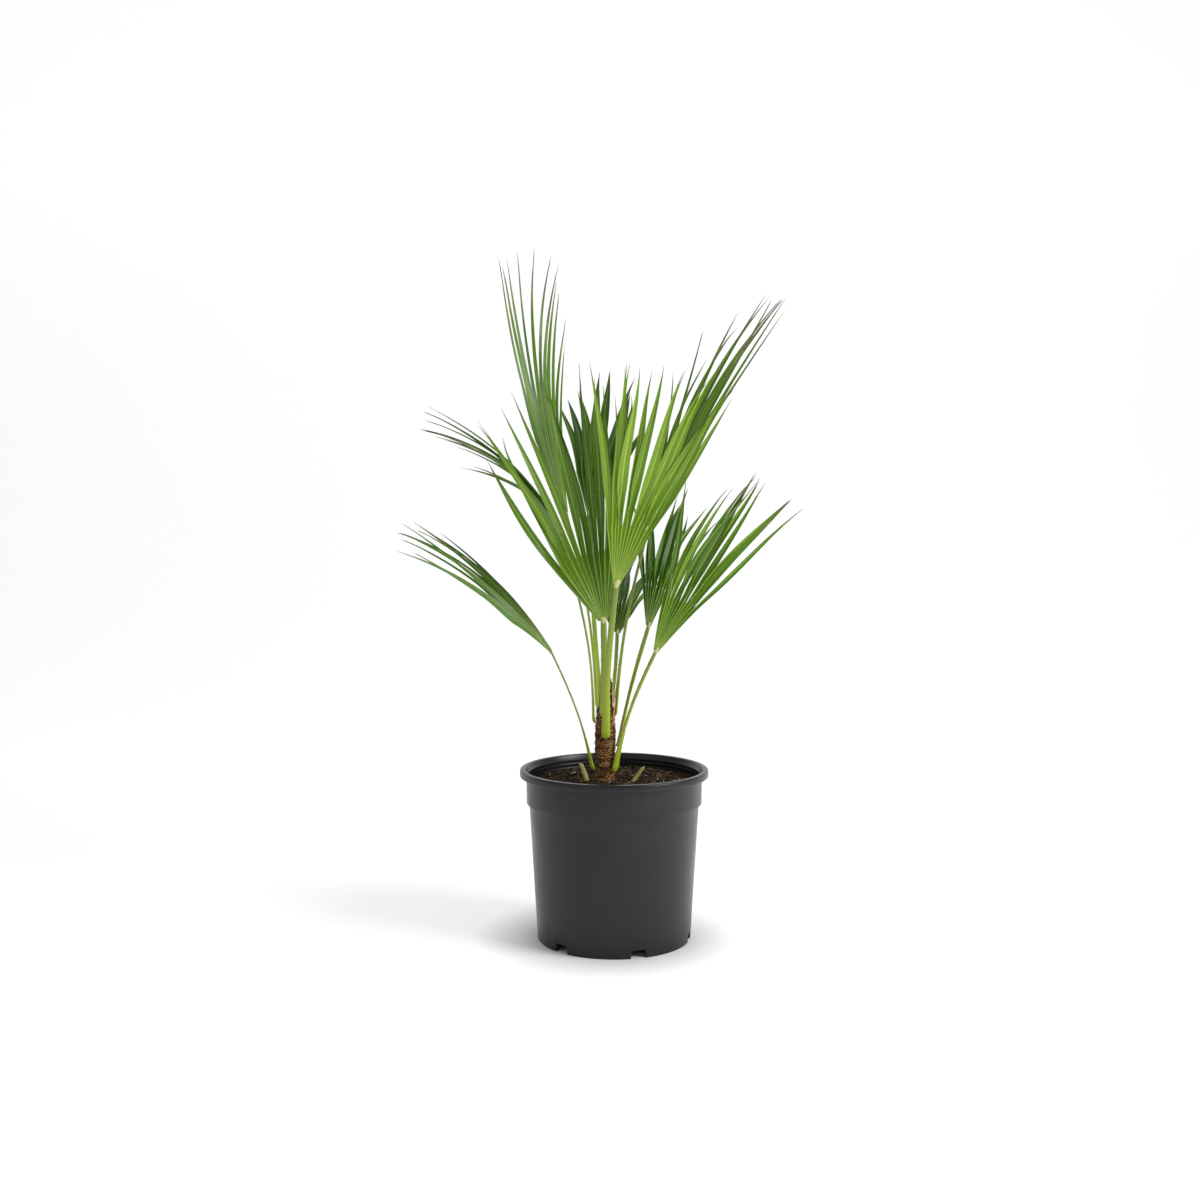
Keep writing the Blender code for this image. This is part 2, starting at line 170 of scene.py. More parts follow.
def colour_property(name, description, default):
    return FloatVectorProperty(
        name=name, description=description, default=default, size=3, min=0.0, max=1.0, subtype="COLOR")


def count_property(name, description, default):
    return IntProperty(name=name, description=description, default=default, min=1)


class PotSettings(bpy.types.PropertyGroup):
    """Sizes and colour of the nursery pot"""
    height: size_property("Height", "Height of the pot", POT_HIGH.z)
    rim_radius: size_property("Rim radius", "Outer radius of the rolled rim", (POT_HIGH.x - POT_LOW.x) / 2.0)
    opening_radius: size_property("Opening radius", "Radius of the opening inside the rim", 0.0980)
    lip_height: size_property("Lip height", "Height of the rolled rim's outer face", 0.0080)
    collar_radius: size_property("Collar radius", "Radius of the collar under the rim", 0.0975)
    collar_foot: size_property("Collar foot", "Height at which the body steps out to the collar", 0.1525)
    body_radius: size_property("Body radius", "Radius of the body just under the collar", 0.0942)
    base_radius: size_property("Base radius", "Radius of the pot at the floor", 0.0853)
    wall: size_property("Wall", "Thickness of the wall", 0.0022)
    ring_width: size_property("Foot ring width", "Width of the ring that the pot stands on", 0.0038)
    channel_height: size_property("Channel height", "Height of the channel inside the foot ring", 0.0095)
    channel_radius: size_property("Channel radius", "Inner radius of that channel", 0.0600)
    notches: count_property("Notches", "Number of drain notches in the foot ring", 6)
    notch_height: size_property("Notch height", "Height of a drain notch", 0.0088)
    notch_angle: angle_property("Notch angle", "Half of the angle that a notch takes", 6.0)
    first_notch: angle_property("First notch", "Angle of the first notch from the front", 17.5)
    plastic: colour_property("Plastic", "Colour of the moulded plastic", (0.0098, 0.0100, 0.0104))


class SoilSettings(bpy.types.PropertyGroup):
    """Relief and colours of the potting mix"""
    relief: size_property("Relief", "Height of the lumps in the surface", 0.0016)
    chips: count_property("Bark chips", "Number of bark chips on the surface", 900)
    grains: count_property("Perlite grains", "Number of white grains", 60)
    fibres: count_property("Fibres", "Number of loose fibres", 240)
    peat: colour_property("Peat", "Colour of the fine mix", display(34, 27, 21))
    bark: colour_property("Bark", "Colour of the bark chips", display(74, 54, 38))
    fibre: colour_property("Fibre", "Colour of the loose fibres", display(150, 124, 84))
    perlite: colour_property("Perlite", "Colour of the white grains", display(226, 222, 210))


class TrunkSettings(bpy.types.PropertyGroup):
    """Relief, fibres and colours of the trunk and the cut stubs"""
    sheath_pitch: size_property("Sheath pitch", "Height from one leaf sheath to the next", 0.0085)
    sheath_step: size_property("Sheath step", "How far each sheath's edge stands out", 0.0010)
    fibres: count_property("Fibres", "Number of fibres wrapped round the trunk", 520)
    scraps: count_property("Scraps", "Number of ragged sheath scraps between the petioles", 26)
    bark: colour_property("Bark", "Colour of the sheaths", display(112, 76, 42))
    light_fibre: colour_property("Light fibre", "Colour of the light fibres", display(206, 162, 104))
    dark_fibre: colour_property("Dark fibre", "Colour of the dark fibres", display(64, 42, 26))
    straw: colour_property("Straw", "Colour of the dry stubs", display(214, 202, 124))


class StalkSettings(bpy.types.PropertyGroup):
    """Colours and spines of the petioles"""
    spine_length: size_property("Spine length", "Length of the longest marginal spines", 0.0026)
    spine_spacing: size_property("Spine spacing", "Mean distance between spines", 0.0080)
    foot: colour_property("Foot", "Colour at the petiole's foot", display(162, 182, 30))
    middle: colour_property("Middle", "Colour of the petiole's middle", display(138, 160, 38))
    neck: colour_property("Neck", "Colour of the petiole's neck", display(112, 134, 50))
    spine: colour_property("Spine", "Colour of the spines", display(196, 198, 120))
    hastula: colour_property("Hastula", "Colour of the crest at the blade's foot", display(206, 208, 138))


class LeafSettings(bpy.types.PropertyGroup):
    """Shape and colours of the leaflets"""
    half_width: size_property("Half width", "Half of a leaflet's width, measured over the fold", 0.0052)
    thickness: size_property("Thickness", "Thickness of the blade", 0.0005)
    fold_foot: angle_property("Fold at the hub", "Slope of the pleats at the hub", 32.0)
    fold_split: angle_property("Fold at the split", "Slope of the pleats where the leaflets part", 48.0)
    fold_tip: angle_property("Fold at the tip", "Slope of a leaflet's halves near its tip", 46.0)
    # The five leaf tones are copies of one green from lit to shaded: the brighter ones are painted light and
    # the darker ones painted shade.
    fresh: colour_property("Fresh", "Colour of the brightest leaflets", display(115, 150, 32))
    bright: colour_property("Bright", "Colour of bright leaflets", display(99, 136, 25))
    medium: colour_property("Medium", "Colour of most leaflets", display(82, 121, 21))
    deep: colour_property("Deep", "Colour of deep green leaflets", display(68, 105, 21))
    shaded: colour_property("Shaded", "Colour of the darkest leaflets", display(52, 87, 19))
    rib: colour_property("Rib", "Colour of the ribs and folds", display(166, 190, 84))
    dull: colour_property("Dull", "Colour where a tip starts to dry", display(116, 126, 74))
    dry: colour_property("Dry", "Colour of a dry tip", display(98, 92, 72))
    dead: colour_property("Dead", "Colour of the very end of a tip", display(70, 62, 52))
    thread: colour_property("Thread", "Colour of the loose threads at the splits", display(196, 196, 150))


class StageSettings(bpy.types.PropertyGroup):
    """Floor, light and camera"""
    floor: colour_property("Floor", "Colour of the floor", (0.90, 0.90, 0.90))
    glow: FloatProperty(name="Glow", description="Light that the floor gives off", default=0.42, min=0.0)
    sky: FloatProperty(name="Sky", description="Strength of the light from all round", default=0.38, min=0.0)
    key: FloatProperty(name="Key", description="Power of the key light", default=29.0, min=0.0, unit="POWER")
    fill: FloatProperty(
        name="Fill", description="Power of the fill light", default=3.0, min=0.0, unit="POWER")
    lens: FloatProperty(name="Lens", description="Focal length", default=41.79, min=1.0, unit="CAMERA")
    tilt: angle_property("Tilt", "Angle that the camera looks down by", 3.40)


def unit(vectors):
    """Vectors divided by their lengths."""
    vectors = np.asarray(vectors, float)
    return vectors / np.linalg.norm(vectors, axis=-1, keepdims=True)


def ease(value):
    """0 up to 0, 1 from 1 on, and three squares less two cubes between them."""
    x = np.clip(value, 0.0, 1.0)
    return x * x * (3.0 - 2.0 * x)


def ripple(points, wavelength, seed, waves=9):
    """Smooth noise from -1 to 1: the mean of sine waves that run in random directions."""
    dice = np.random.default_rng(seed)
    directions = unit(dice.normal(size=(waves, 3)))
    lengths = wavelength * dice.uniform(0.7, 1.5, waves)
    phases = dice.uniform(0.0, 2.0 * np.pi, waves)
    turns = points @ (directions * (2.0 * np.pi / lengths)[:, None]).T + phases
    return np.sin(turns).mean(-1) * 1.8


def turned(vectors, axes, angles):
    """Vectors turned about unit axes: the cosine of the vector, plus the sine of its cross
    product with the axis, plus what lies along the axis."""
    cosine = np.cos(angles)[..., None]
    sine = np.sin(angles)[..., None]
    along = (vectors * axes).sum(-1, keepdims=True)
    return vectors * cosine + np.cross(axes, vectors) * sine + axes * along * (1.0 - cosine)


def circle(sides):
    """Angles of the corners of a ring."""
    return np.arange(sides) * 2.0 * np.pi / sides


def tube(centres, wide, deep, sides):
    """Rings whose corners are the centre, plus the cosine times the half-width vector, plus
    the sine times the half-depth vector."""
    corners = circle(sides)[:, None]
    return (
        centres[..., None, :]
        + wide[..., None, :] * np.cos(corners)
        + deep[..., None, :] * np.sin(corners)
    )


def cross_axes(centres, hint):
    """Two unit vectors across a path: the hint squared to the path, and its cross product."""
    tangent = unit(np.gradient(centres, axis=-2))
    wide = unit(hint - tangent * (hint * tangent).sum(-1, keepdims=True))
    return wide, np.cross(tangent, wide)


class Strands:
    """Closed strands of one kind: rings by strand, station and corner, with a material
    number for each face and, where a pattern follows the surface, its two coordinates."""

    def __init__(self, rings, slots=0, places=None):
        self.rings = rings if rings.ndim == 4 else rings[None]
        count, stations, sides = self.rings.shape[:3]
        self.slots = np.broadcast_to(np.asarray(slots, int), (count, stations - 1, sides))
        self.places = np.zeros((count, stations, sides, 2))
        if places is not None:
            self.places[...] = places

    def faces(self, start):
        count, stations, sides = self.rings.shape[:3]
        number = start + np.arange(count * stations * sides).reshape(count, stations, sides)
        after = np.roll(number, -1, axis=2)
        quads = np.stack([number[:, :-1], after[:, :-1], after[:, 1:], number[:, 1:]], -1).reshape(-1, 4)
        caps = np.concatenate([number[:, 0, ::-1], number[:, -1]])
        cap_slots = np.concatenate([self.slots[:, 0, 0], self.slots[:, -1, 0]])
        return (quads, self.slots.reshape(-1)), (caps, cap_slots)


def make_piece(name, parts, materials, replaced=(), sharp=40.0):
    """One mesh object from sets of closed strands, riding on the plant's body."""
    points, corners, sizes, slots, places = [], [], [], [], []
    start = 0
    for part in parts:
        for faces, face_slots in part.faces(start):
            corners.append(faces.reshape(-1))
            sizes.append(np.full(len(faces), faces.shape[1]))
            slots.append(face_slots)
        points.append(part.rings.reshape(-1, 3))
        places.append(part.places.reshape(-1, 2))
        start += len(points[-1])
    points, corners, sizes = np.concatenate(points), np.concatenate(corners), np.concatenate(sizes)
    mesh = bpy.data.meshes.new(name)
    mesh.vertices.add(len(points))
    mesh.vertices.foreach_set("co", points.astype(np.float32).reshape(-1))
    mesh.loops.add(len(corners))
    mesh.loops.foreach_set("vertex_index", corners.astype(np.int32))
    mesh.polygons.add(len(sizes))
    mesh.polygons.foreach_set("loop_start", (np.cumsum(sizes) - sizes).astype(np.int32))
    mesh.polygons.foreach_set("material_index", np.concatenate(slots).astype(np.int32))
    for material in materials:
        mesh.materials.append(material)
    mesh.update(calc_edges=True)
    layer = mesh.uv_layers.new(name="surface")
    layer.data.foreach_set("uv", np.concatenate(places)[corners].astype(np.float32).reshape(-1))
    work = bmesh.new()
    work.from_mesh(mesh)
    bmesh.ops.recalc_face_normals(work, faces=work.faces)
    work.to_mesh(mesh)
    work.free()
    mesh.polygons.foreach_set("use_smooth", np.ones(len(mesh.polygons), bool))
    mesh.set_sharp_from_angle(angle=math.radians(sharp))
    piece = bpy.data.objects.new(name, mesh)
    bpy.context.scene.collection.objects.link(piece)
    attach(piece, BODY)
    if replaced:
        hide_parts(*replaced)
    return piece


class Finish:
    """A procedural material, with helpers that add nodes behind its shader's sockets."""

    def __init__(self, name, colour, roughness, specular=0.5):
        self.material = bpy.data.materials.new(name)
        self.material.use_nodes = True
        self.tree = self.material.node_tree
        self.shader = self.tree.nodes["Principled BSDF"]
        self.shader.inputs["Base Color"].default_value = (*colour, 1.0)
        self.shader.inputs["Roughness"].default_value = roughness
        self.shader.inputs["Specular IOR Level"].default_value = specular

    def node(self, kind, **values):
        made = self.tree.nodes.new(kind)
        for key, value in values.items():
            if key in made.inputs:
                made.inputs[key].default_value = value
            else:
                setattr(made, key, value)
        return made

    def link(self, source, target):
        self.tree.links.new(source, target)

    def coordinates(self, stretch=(1.0, 1.0, 1.0), surface=False):
        """Object coordinates, or the surface's own, stretched along each axis."""
        place = self.node("ShaderNodeTexCoord")
        mapping = self.node("ShaderNodeMapping", Scale=stretch)
        self.link(place.outputs["UV" if surface else "Object"], mapping.inputs["Vector"])
        return mapping.outputs["Vector"]

    def noise(self, vector, scale, detail=3.0, roughness=0.55):
        made = self.node("ShaderNodeTexNoise", Scale=scale, Detail=detail, Roughness=roughness)
        self.link(vector, made.inputs["Vector"])
        return made.outputs["Fac"]

    def ramp(self, factor, stops):
        made = self.node("ShaderNodeValToRGB")
        elements = made.color_ramp.elements
        while len(elements) < len(stops):
            elements.new(0.5)
        for element, (position, colour) in zip(elements, stops):
            element.position = position
            element.color = (*colour, 1.0) if len(colour) == 3 else colour
        self.link(factor, made.inputs["Fac"])
        return made.outputs["Color"]

    def levels(self, factor, low, high, start=0.0, end=1.0):
        """The factor's stretch from start to end, spread from low to high."""
        made = self.node("ShaderNodeMapRange")
        for key, value in {"From Min": start, "From Max": end, "To Min": low, "To Max": high}.items():
            made.inputs[key].default_value = value
        self.link(factor, made.inputs["Value"])
        return made.outputs["Result"]

    def mix(self, factor, first, second):
        """Two colours mixed by a factor. Each is a colour or a socket."""
        made = self.node("ShaderNodeMix", data_type="RGBA")
        self.link(factor, made.inputs["Factor"])
        for value, socket in ((first, made.inputs[6]), (second, made.inputs[7])):
            if isinstance(value, bpy.types.NodeSocket):
                self.link(value, socket)
            else:
                socket.default_value = (*value, 1.0)
        return made.outputs[2]

    def colour(self, socket):
        self.link(socket, self.shader.inputs["Base Color"])

    def rough(self, socket):
        self.link(socket, self.shader.inputs["Roughness"])

    def bump(self, height, depth, strength=1.0, before=None):
        made = self.node("ShaderNodeBump", Strength=strength, Distance=depth)
        self.link(height, made.inputs["Height"])
        if before is not None:
            self.link(before, made.inputs["Normal"])
        self.link(made.outputs["Normal"], self.shader.inputs["Normal"])
        return made.outputs["Normal"]


def scaled(colour, factor):
    """A colour made lighter or darker by a factor."""
    return tuple(min(1.0, float(value) * factor) for value in colour)


def blended(first, second, share):
    """A colour part of the way from the first to the second."""
    return tuple(float(a) * (1.0 - share) + float(b) * share for a, b in zip(first, second))


def pot_plastic(colour):
    """Satin black plastic: faint mould streaks, fine orange peel and a few pale scuffs."""
    finish = Finish("pot_plastic", colour, 0.34, specular=0.34)
    place = finish.coordinates()
    streaks = finish.noise(finish.coordinates((26.0, 26.0, 2.2)), 1.6, 4.0)
    clouds = finish.noise(place, 16.0, 3.0)
    scratches = finish.noise(finish.coordinates((34.0, 34.0, 260.0)), 1.0, 6.0, 0.7)
    scuffs = finish.levels(scratches, 0.0, 1.0, 0.665, 0.72)
    tone = finish.mix(streaks, scaled(colour, 0.86), scaled(colour, 1.16))
    finish.colour(finish.mix(scuffs, tone, scaled(colour, 3.2)))
    finish.rough(finish.levels(clouds, 0.26, 0.40, 0.3, 0.7))
    peel = finish.bump(finish.noise(place, 900.0, 2.0), 0.00004, 0.5)
    finish.bump(finish.noise(finish.coordinates((60.0, 60.0, 6.0)), 1.0, 3.0), 0.0003, 0.35, peel)
    return finish.material


def grainy(name, dark, light, scale, roughness=0.9, depth=0.0006, stretch=(1.0, 1.0, 1.0)):
    """A rough natural surface: two tones mixed by noise, which also roughens it."""
    finish = Finish(name, light, roughness, specular=0.25)
    place = finish.coordinates(stretch)
    share = finish.levels(finish.noise(place, scale, 5.0, 0.65), 0.0, 1.0, 0.35, 0.65)
    finish.colour(finish.mix(share, dark, light))
    finish.bump(finish.noise(place, scale * 2.2, 5.0, 0.7), depth)
    return finish.material


def stalk_skin(settings):
    """Petiole skin: yellow-green at the foot, duller at the neck, with fine long streaks."""
    finish = Finish("stalk_skin", settings.middle, 0.42)
    place = finish.coordinates((1.0, 1.0, 1.0), surface=True)
    parts = finish.node("ShaderNodeSeparateXYZ")
    finish.link(place, parts.inputs["Vector"])
    along = finish.ramp(parts.outputs["Y"], [
        (0.0, blended(settings.foot, display(206, 196, 96), 0.35)),
        (0.05, tuple(settings.foot)),
        (0.45, tuple(settings.middle)),
        (1.0, tuple(settings.neck)),
    ])
    streaks = finish.noise(finish.coordinates((9.0, 1.2, 1.0), surface=True), 2.4, 5.0, 0.6)
    streaked = finish.levels(streaks, 0.0, 0.5, 0.45, 0.75)
    finish.colour(finish.mix(streaked, along, scaled(settings.neck, 0.55)))
    finish.bump(finish.noise(finish.coordinates((40.0, 1.0, 1.0), surface=True), 1.0, 3.0), 0.0002, 0.5)
    return finish.material


def leaf_skin(name, colour, roughness=0.40):
    """Leaf skin: a plain colour with a satin cuticle and fine veins along the leaflet."""
    finish = Finish(name, colour, roughness, specular=0.32)
    finish.shader.inputs["Subsurface Weight"].default_value = 0.12
    finish.shader.inputs["Subsurface Radius"].default_value = (0.6, 1.0, 0.2)
    finish.shader.inputs["Subsurface Scale"].default_value = 0.0008
    veins = finish.noise(finish.coordinates((1500.0, 6.0, 1.0), surface=True), 1.0, 2.0)
    finish.bump(veins, 0.00012, 0.55)
    return finish.material


LEAF_TONES = ("fresh", "bright", "medium", "deep", "shaded")
TIP_STEPS = 4


def leaf_materials(settings):
    """Plain leaf colours in order: the tones, a rib for each tone, the drying steps of each
    tone, the dead tip and the loose threads. The tones are lit and shaded copies of one green
    that paint light and shade, and each tone's rib and drying steps carry the same painted
    light and shade."""
    tones = [tuple(getattr(settings, tone)) for tone in LEAF_TONES]
    made = [leaf_skin("leaf_" + tone, colour) for tone, colour in zip(LEAF_TONES, tones)]
    made += [
        leaf_skin("leaf_rib_" + tone, blended(settings.rib, colour, 0.25 + 0.10 * number), 0.45)
        for number, (tone, colour) in enumerate(zip(LEAF_TONES, tones))
    ]
    stages = [tuple(settings.dull), tuple(settings.dry), tuple(settings.dead)]
    for tone, colour in zip(LEAF_TONES, tones):
        shades = [blended(colour, stages[0], 0.5), stages[0], blended(stages[0], stages[1], 0.6), stages[1]]
        made += [leaf_skin(f"leaf_{tone}_drying_{step}", shade, 0.55) for step, shade in enumerate(shades)]
    made.append(leaf_skin("leaf_dead_tip", stages[2], 0.7))
    made.append(leaf_skin("leaf_thread", tuple(settings.thread), 0.6))
    return made


def rib_slot(tone):
    """Material number of a tone's rib."""
    return len(LEAF_TONES) + tone


def drying_slot(tone, step):
    """Material number of a tone's drying step."""
    return 2 * len(LEAF_TONES) + tone * TIP_STEPS + step


DEAD_SLOT = 2 * len(LEAF_TONES) + len(LEAF_TONES) * TIP_STEPS
THREAD_SLOT = DEAD_SLOT + 1


def blade_frame(frond):
    """The middle rib's direction and the direction that the leaflets spread along."""
    along = unit(frond["reach"])
    face = math.radians(frond["face"])
    across = unit(np.cross((math.cos(face), math.sin(face), 0.0), along))
    return along, across


def blade_place(frond, angle, distance):
    """A place of the blade: straight out from an apex behind the hub at an angle from the
    middle rib, plus the bend times the square of the distance past the blade's foot."""
    along, across = blade_frame(frond)
    length = np.linalg.norm(frond["reach"])
    ray = np.cos(angle)[..., None] * along + np.sin(angle)[..., None] * across
    past = np.maximum(distance - FAN_START, 0.0) / length
    apex = np.array(frond["hub"]) - along * FAN_START
    return apex + ray * distance[..., None] + np.array(frond["bend"]) * (past ** 2)[..., None]


def blade_normal(frond, angle, distance):
    """The blade's unit normal, on the side that it faces: the cross product of a step
    outwards and a step sideways."""
    outward = blade_place(frond, angle, distance + 0.001) - blade_place(frond, angle, distance)
    sideways = blade_place(frond, angle + 0.01, distance) - blade_place(frond, angle - 0.01, distance)
    return unit(np.cross(outward, sideways))


def leaflet_rays(frond):
    """Angle and reach of each leaflet's rib, from one side of the fan to the other."""
    dice = random.Random(frond["seed"])
    low, high = frond["spread"]
    length = np.linalg.norm(frond["reach"])
    angles, reaches = [], []
    for index in range(frond["leaflets"]):
        share = index / (frond["leaflets"] - 1)
        side = 2.0 * share - 1.0
        shorten = frond["shorten"][0] if side < 0.0 else frond["shorten"][1]
        angles.append(low + (high - low) * share + dice.uniform(-ANGLE_JITTER, ANGLE_JITTER))
        reach = length * (1.0 - shorten * side ** 2) * (1.0 - dice.uniform(0.0, LENGTH_JITTER))
        reaches.append(FAN_START + reach)
    return np.radians(angles), np.array(reaches)


UNITED_ROWS = 12
FREE_ROWS = 34
LEAF_COLUMNS = np.array([0.0, 0.13, 0.42, 0.74, 1.0])

# Ranges that each leaflet is dealt its width, fork, opening and taper from, as shares
WIDTH_RANGE = (0.84, 1.10)
FORK_RANGE = (0.02, 0.30)
OPENING_RANGE = (0.6, 1.4)
TAPER_RANGE = (1.9, 2.8)

# How much narrower the outermost leaflets are, where along its free part a leaflet is
# full and flattest, and how far one lobe of a fork may lag behind
SIDE_NARROWING = 0.22
SWELL_END = 0.32
UNFOLD_END = 0.38
LOBE_LAG = 0.35

# The most that a leaflet twists, and that its tip sways, lifts and waves
TWIST = 34.0
SWAY = 0.020
LIFT = 0.016
WAVE = 0.003

TIP_HALF_WIDTH = 0.00008
RIB_GIRTHS = ((0.0, 0.28, 0.8, 1.0), (0.00062, 0.00050, 0.00022, 0.00012))
RIB_END = 0.80
SEAM_GIRTH = 0.00028
THREAD_GIRTH = 0.00016


def leaflet_strands(frond, look, settings):
    """The half blades, ribs, seams and threads of one fan.

    A half blade runs from its rib to its edge. Up to the split its edge is the seam shared
    with the next leaflet, raised by the fold. Past the split its width eases to the full
    half width and tapers with a power of the distance, the fold opens and closes again,
    and the section turns and drifts with the square of the distance. Near the tip the two
    halves part and each narrows to a point of its own.
    """
    dice = np.random.default_rng(1000 + frond["seed"])
    angles, reaches = leaflet_rays(frond)
    count = len(angles)
    length = np.linalg.norm(frond["reach"])
    split = UNITED_SHARE * length
    middle = (angles[1:] + angles[:-1]) / 2.0
    edges = np.concatenate([[2.0 * angles[0] - middle[0]], middle, [2.0 * angles[-1] - middle[-1]]])
    side = np.array([-1.0, 1.0])[None, :, None, None]
    room = np.stack([angles - edges[:-1], edges[1:] - angles], 1)[:, :, None, None]
    rib = angles[:, None, None, None]
    column = LEAF_COLUMNS[None, None, None, :]
    each = (count, 1, 1, 1)

    row = np.linspace(0.0, 1.0, UNITED_ROWS, endpoint=False)[None, None, :, None]
    united_angle = np.broadcast_to(rib + side * room * column, (count, 2, UNITED_ROWS, column.shape[-1]))
    foot = FAN_START / np.cos(united_angle)
    united_distance = foot + (split - foot) * row
    slope = settings.fold_foot + (settings.fold_split - settings.fold_foot) * row
    united_height = united_distance * room * np.tan(slope) * column

    past = np.linspace(0.0, 1.0, FREE_ROWS)[None, None, :, None]
    fan_side = np.abs(np.linspace(-1.0, 1.0, count))[:, None, None, None]
    full = settings.half_width * look["width"] * dice.uniform(*WIDTH_RANGE, each)
    full = full * (1.0 - SIDE_NARROWING * fan_side ** 3)
    start = split * room / np.cos(settings.fold_split)
    fork = 1.0 - dice.uniform(*FORK_RANGE, each) ** 1.5
    open_fold = np.radians(look["fold_open"]) * dice.uniform(*OPENING_RANGE, each)
    taper_power = dice.uniform(*TAPER_RANGE, each)

    def half_width(at):
        return (start + (full - start) * ease(at / SWELL_END)) * (1.0 - at ** taper_power) ** 1.05

    forked = np.clip((past - fork) / (1.0 - fork), 0.0, 1.0)
    at_fork = half_width(fork)
    lobe = at_fork / 2.0 * (1.0 - forked) ** 0.9 + TIP_HALF_WIDTH
    drift = at_fork / 2.0 * (1.0 + 1.1 * forked ** 1.5)
    whole = past < fork
    outer = np.where(whole, half_width(past), drift + lobe)
    inner = np.where(whole, 0.0, drift - lobe)
    uneven = dice.uniform(0.0, LOBE_LAG, (count, 2, 1, 1)) * forked * (1.0 - fork)
    free_distance = split + (reaches[:, None, None, None] - split) * (past - uneven)
    fold = settings.fold_split + (open_fold - settings.fold_split) * ease(past / UNFOLD_END)
    fold = fold + (settings.fold_tip - open_fold) * ease((past - 0.5) / 0.5)
    lateral = inner + (outer - inner) * column
    free_distance = np.broadcast_to(free_distance, lateral.shape)
    free_angle = rib + side * lateral * np.cos(fold) / free_distance
    free_height = lateral * np.sin(fold)

    angle = np.concatenate([united_angle, free_angle], 2)
    distance = np.concatenate([np.broadcast_to(united_distance, united_angle.shape), free_distance], 2)
    height = np.concatenate([np.broadcast_to(united_height, united_angle.shape), free_height], 2)
    free = np.concatenate([np.zeros(UNITED_ROWS), past.reshape(-1)])[None, None, :, None]
    normal = blade_normal(frond, angle, distance)
    sheet = blade_place(frond, angle, distance) + normal * (height * look["pleat"])[..., None]

    rib_angle = np.broadcast_to(rib[..., 0], distance.shape[:3])
    rib_line = blade_place(frond, rib_angle, distance[..., 0])[..., None, :]
    tangent = unit(np.gradient(rib_line, axis=2))
    stray = look["stray"]
    twist = np.radians(dice.uniform(-TWIST, TWIST, each)) * stray * ease(free)
    sheet = rib_line + turned(sheet - rib_line, tangent, np.broadcast_to(twist, height.shape))
    normal = turned(normal, tangent, np.broadcast_to(twist, height.shape))
    _, across = blade_frame(frond)
    sway = dice.uniform(-SWAY, SWAY, each) * stray
    lift = dice.uniform(-LIFT, LIFT, each) * stray
    wave = dice.uniform(-WAVE, WAVE, each) * stray * np.sin(free * np.pi * 1.6)
    drifted = (
        across * (sway * free ** 2 + wave)[..., None]
        + blade_normal(frond, np.zeros(1), np.full(1, length)) * (lift * free ** 2)[..., None]
    )
    sheet = sheet + drifted
    rib_line = rib_line + drifted

    half_thickness = settings.thickness / 2.0 * (1.0 - 0.5 * column) * (1.0 - 0.6 * free)
    above = sheet + normal * half_thickness[..., None]
    below = sheet - normal * half_thickness[..., None]
    rings = np.concatenate([above, below[..., ::-1, :]], 3)
    columns = len(LEAF_COLUMNS)

    # Each leaflet's tone is a copy of the green that paints light and shade: the frond's tone, moved one step
    # up or down at random.
    tone = np.clip(look["tone"] + dice.integers(-1, 2, count), 0, len(LEAF_TONES) - 1)
    dry_from = 1.0 - np.clip(look["dry"] * dice.uniform(0.5, 1.7, count), 0.015, 0.6)
    station = (free[..., 1:, :] + free[..., :-1, :]) / 2.0
    drying = (station - dry_from[:, None, None, None]) / (1.0 - dry_from[:, None, None, None])
    tone4 = tone[:, None, None, None]
    slots = np.broadcast_to(tone4, (count, 2, rings.shape[2] - 1, 2 * columns)).copy()
    slots[..., [0, 2 * columns - 2, 2 * columns - 1]] = rib_slot(tone4)
    step = np.clip((drying * (TIP_STEPS + 1)).astype(int), 0, TIP_STEPS)
    dried = np.where(step == TIP_STEPS, DEAD_SLOT, drying_slot(tone4, np.minimum(step, TIP_STEPS - 1)))
    slots = np.where(drying > 0.0, dried, slots)
    lateral_all = np.concatenate([united_distance * room * column, lateral], 2) * side
    along_all = np.broadcast_to(distance, lateral_all.shape)
    place = np.stack([lateral_all + rib * 3.0, along_all], -1)
    places = np.concatenate([place, place[..., ::-1, :]], 3)
    blades = Strands(
        rings.reshape(count * 2, -1, 2 * columns, 3),
        slots.reshape(count * 2, -1, 2 * columns),
        places.reshape(count * 2, -1, 2 * columns, 2))

    ribs = rib_strands(rib_line[:, 0, :, 0], across, tone)
    seam, seams = seam_strands(frond, look, settings, edges, room)
    outward = unit(seam[1:-1, -1] - seam[1:-1, -2])
    return [blades, ribs, seams] + loose_threads(seam[1:-1, -1], outward, look["thread"], dice)


def rib_strands(line, across, tone):
    """A round rib along each leaflet's fold, thinning towards its tip."""
    wide, deep = cross_axes(line, across)
    girth = np.interp(np.linspace(0.0, 1.0, line.shape[1]), *RIB_GIRTHS)
    keel = line - deep * 0.0001
    last = UNITED_ROWS + int(FREE_ROWS * RIB_END)
    rings = tube(keel, wide * girth[:, None], deep * girth[:, None] * 0.8, 6)
    return Strands(rings[:, :last], rib_slot(tone)[:, None, None])


def seam_strands(frond, look, settings, edges, room):
    """A thread along each seam of the united part, and the line that it follows: the
    blade's rule at the seam's angle, raised by the distance times half the leaflet's
    angle times the tangent of the fold."""
    split = UNITED_SHARE * np.linalg.norm(frond["reach"])
    row = np.linspace(0.0, 1.0, UNITED_ROWS)
    angle = np.repeat(edges[:, None], UNITED_ROWS, 1)
    foot = FAN_START / np.cos(angle)
    distance = foot + (split - foot) * row
    half = np.concatenate([room[:, 0, 0], room[-1:, 1, 0]])
    slope = settings.fold_foot + (settings.fold_split - settings.fold_foot) * row
    height = distance * half * np.tan(slope) * look["pleat"]
    seam = blade_place(frond, angle, distance)
    seam = seam + blade_normal(frond, angle, distance) * height[..., None]
    wide, deep = cross_axes(seam, blade_frame(frond)[1])
    rings = tube(seam, wide * SEAM_GIRTH, deep * SEAM_GIRTH, 5)
    return seam, Strands(rings, rib_slot(int(look["tone"])))


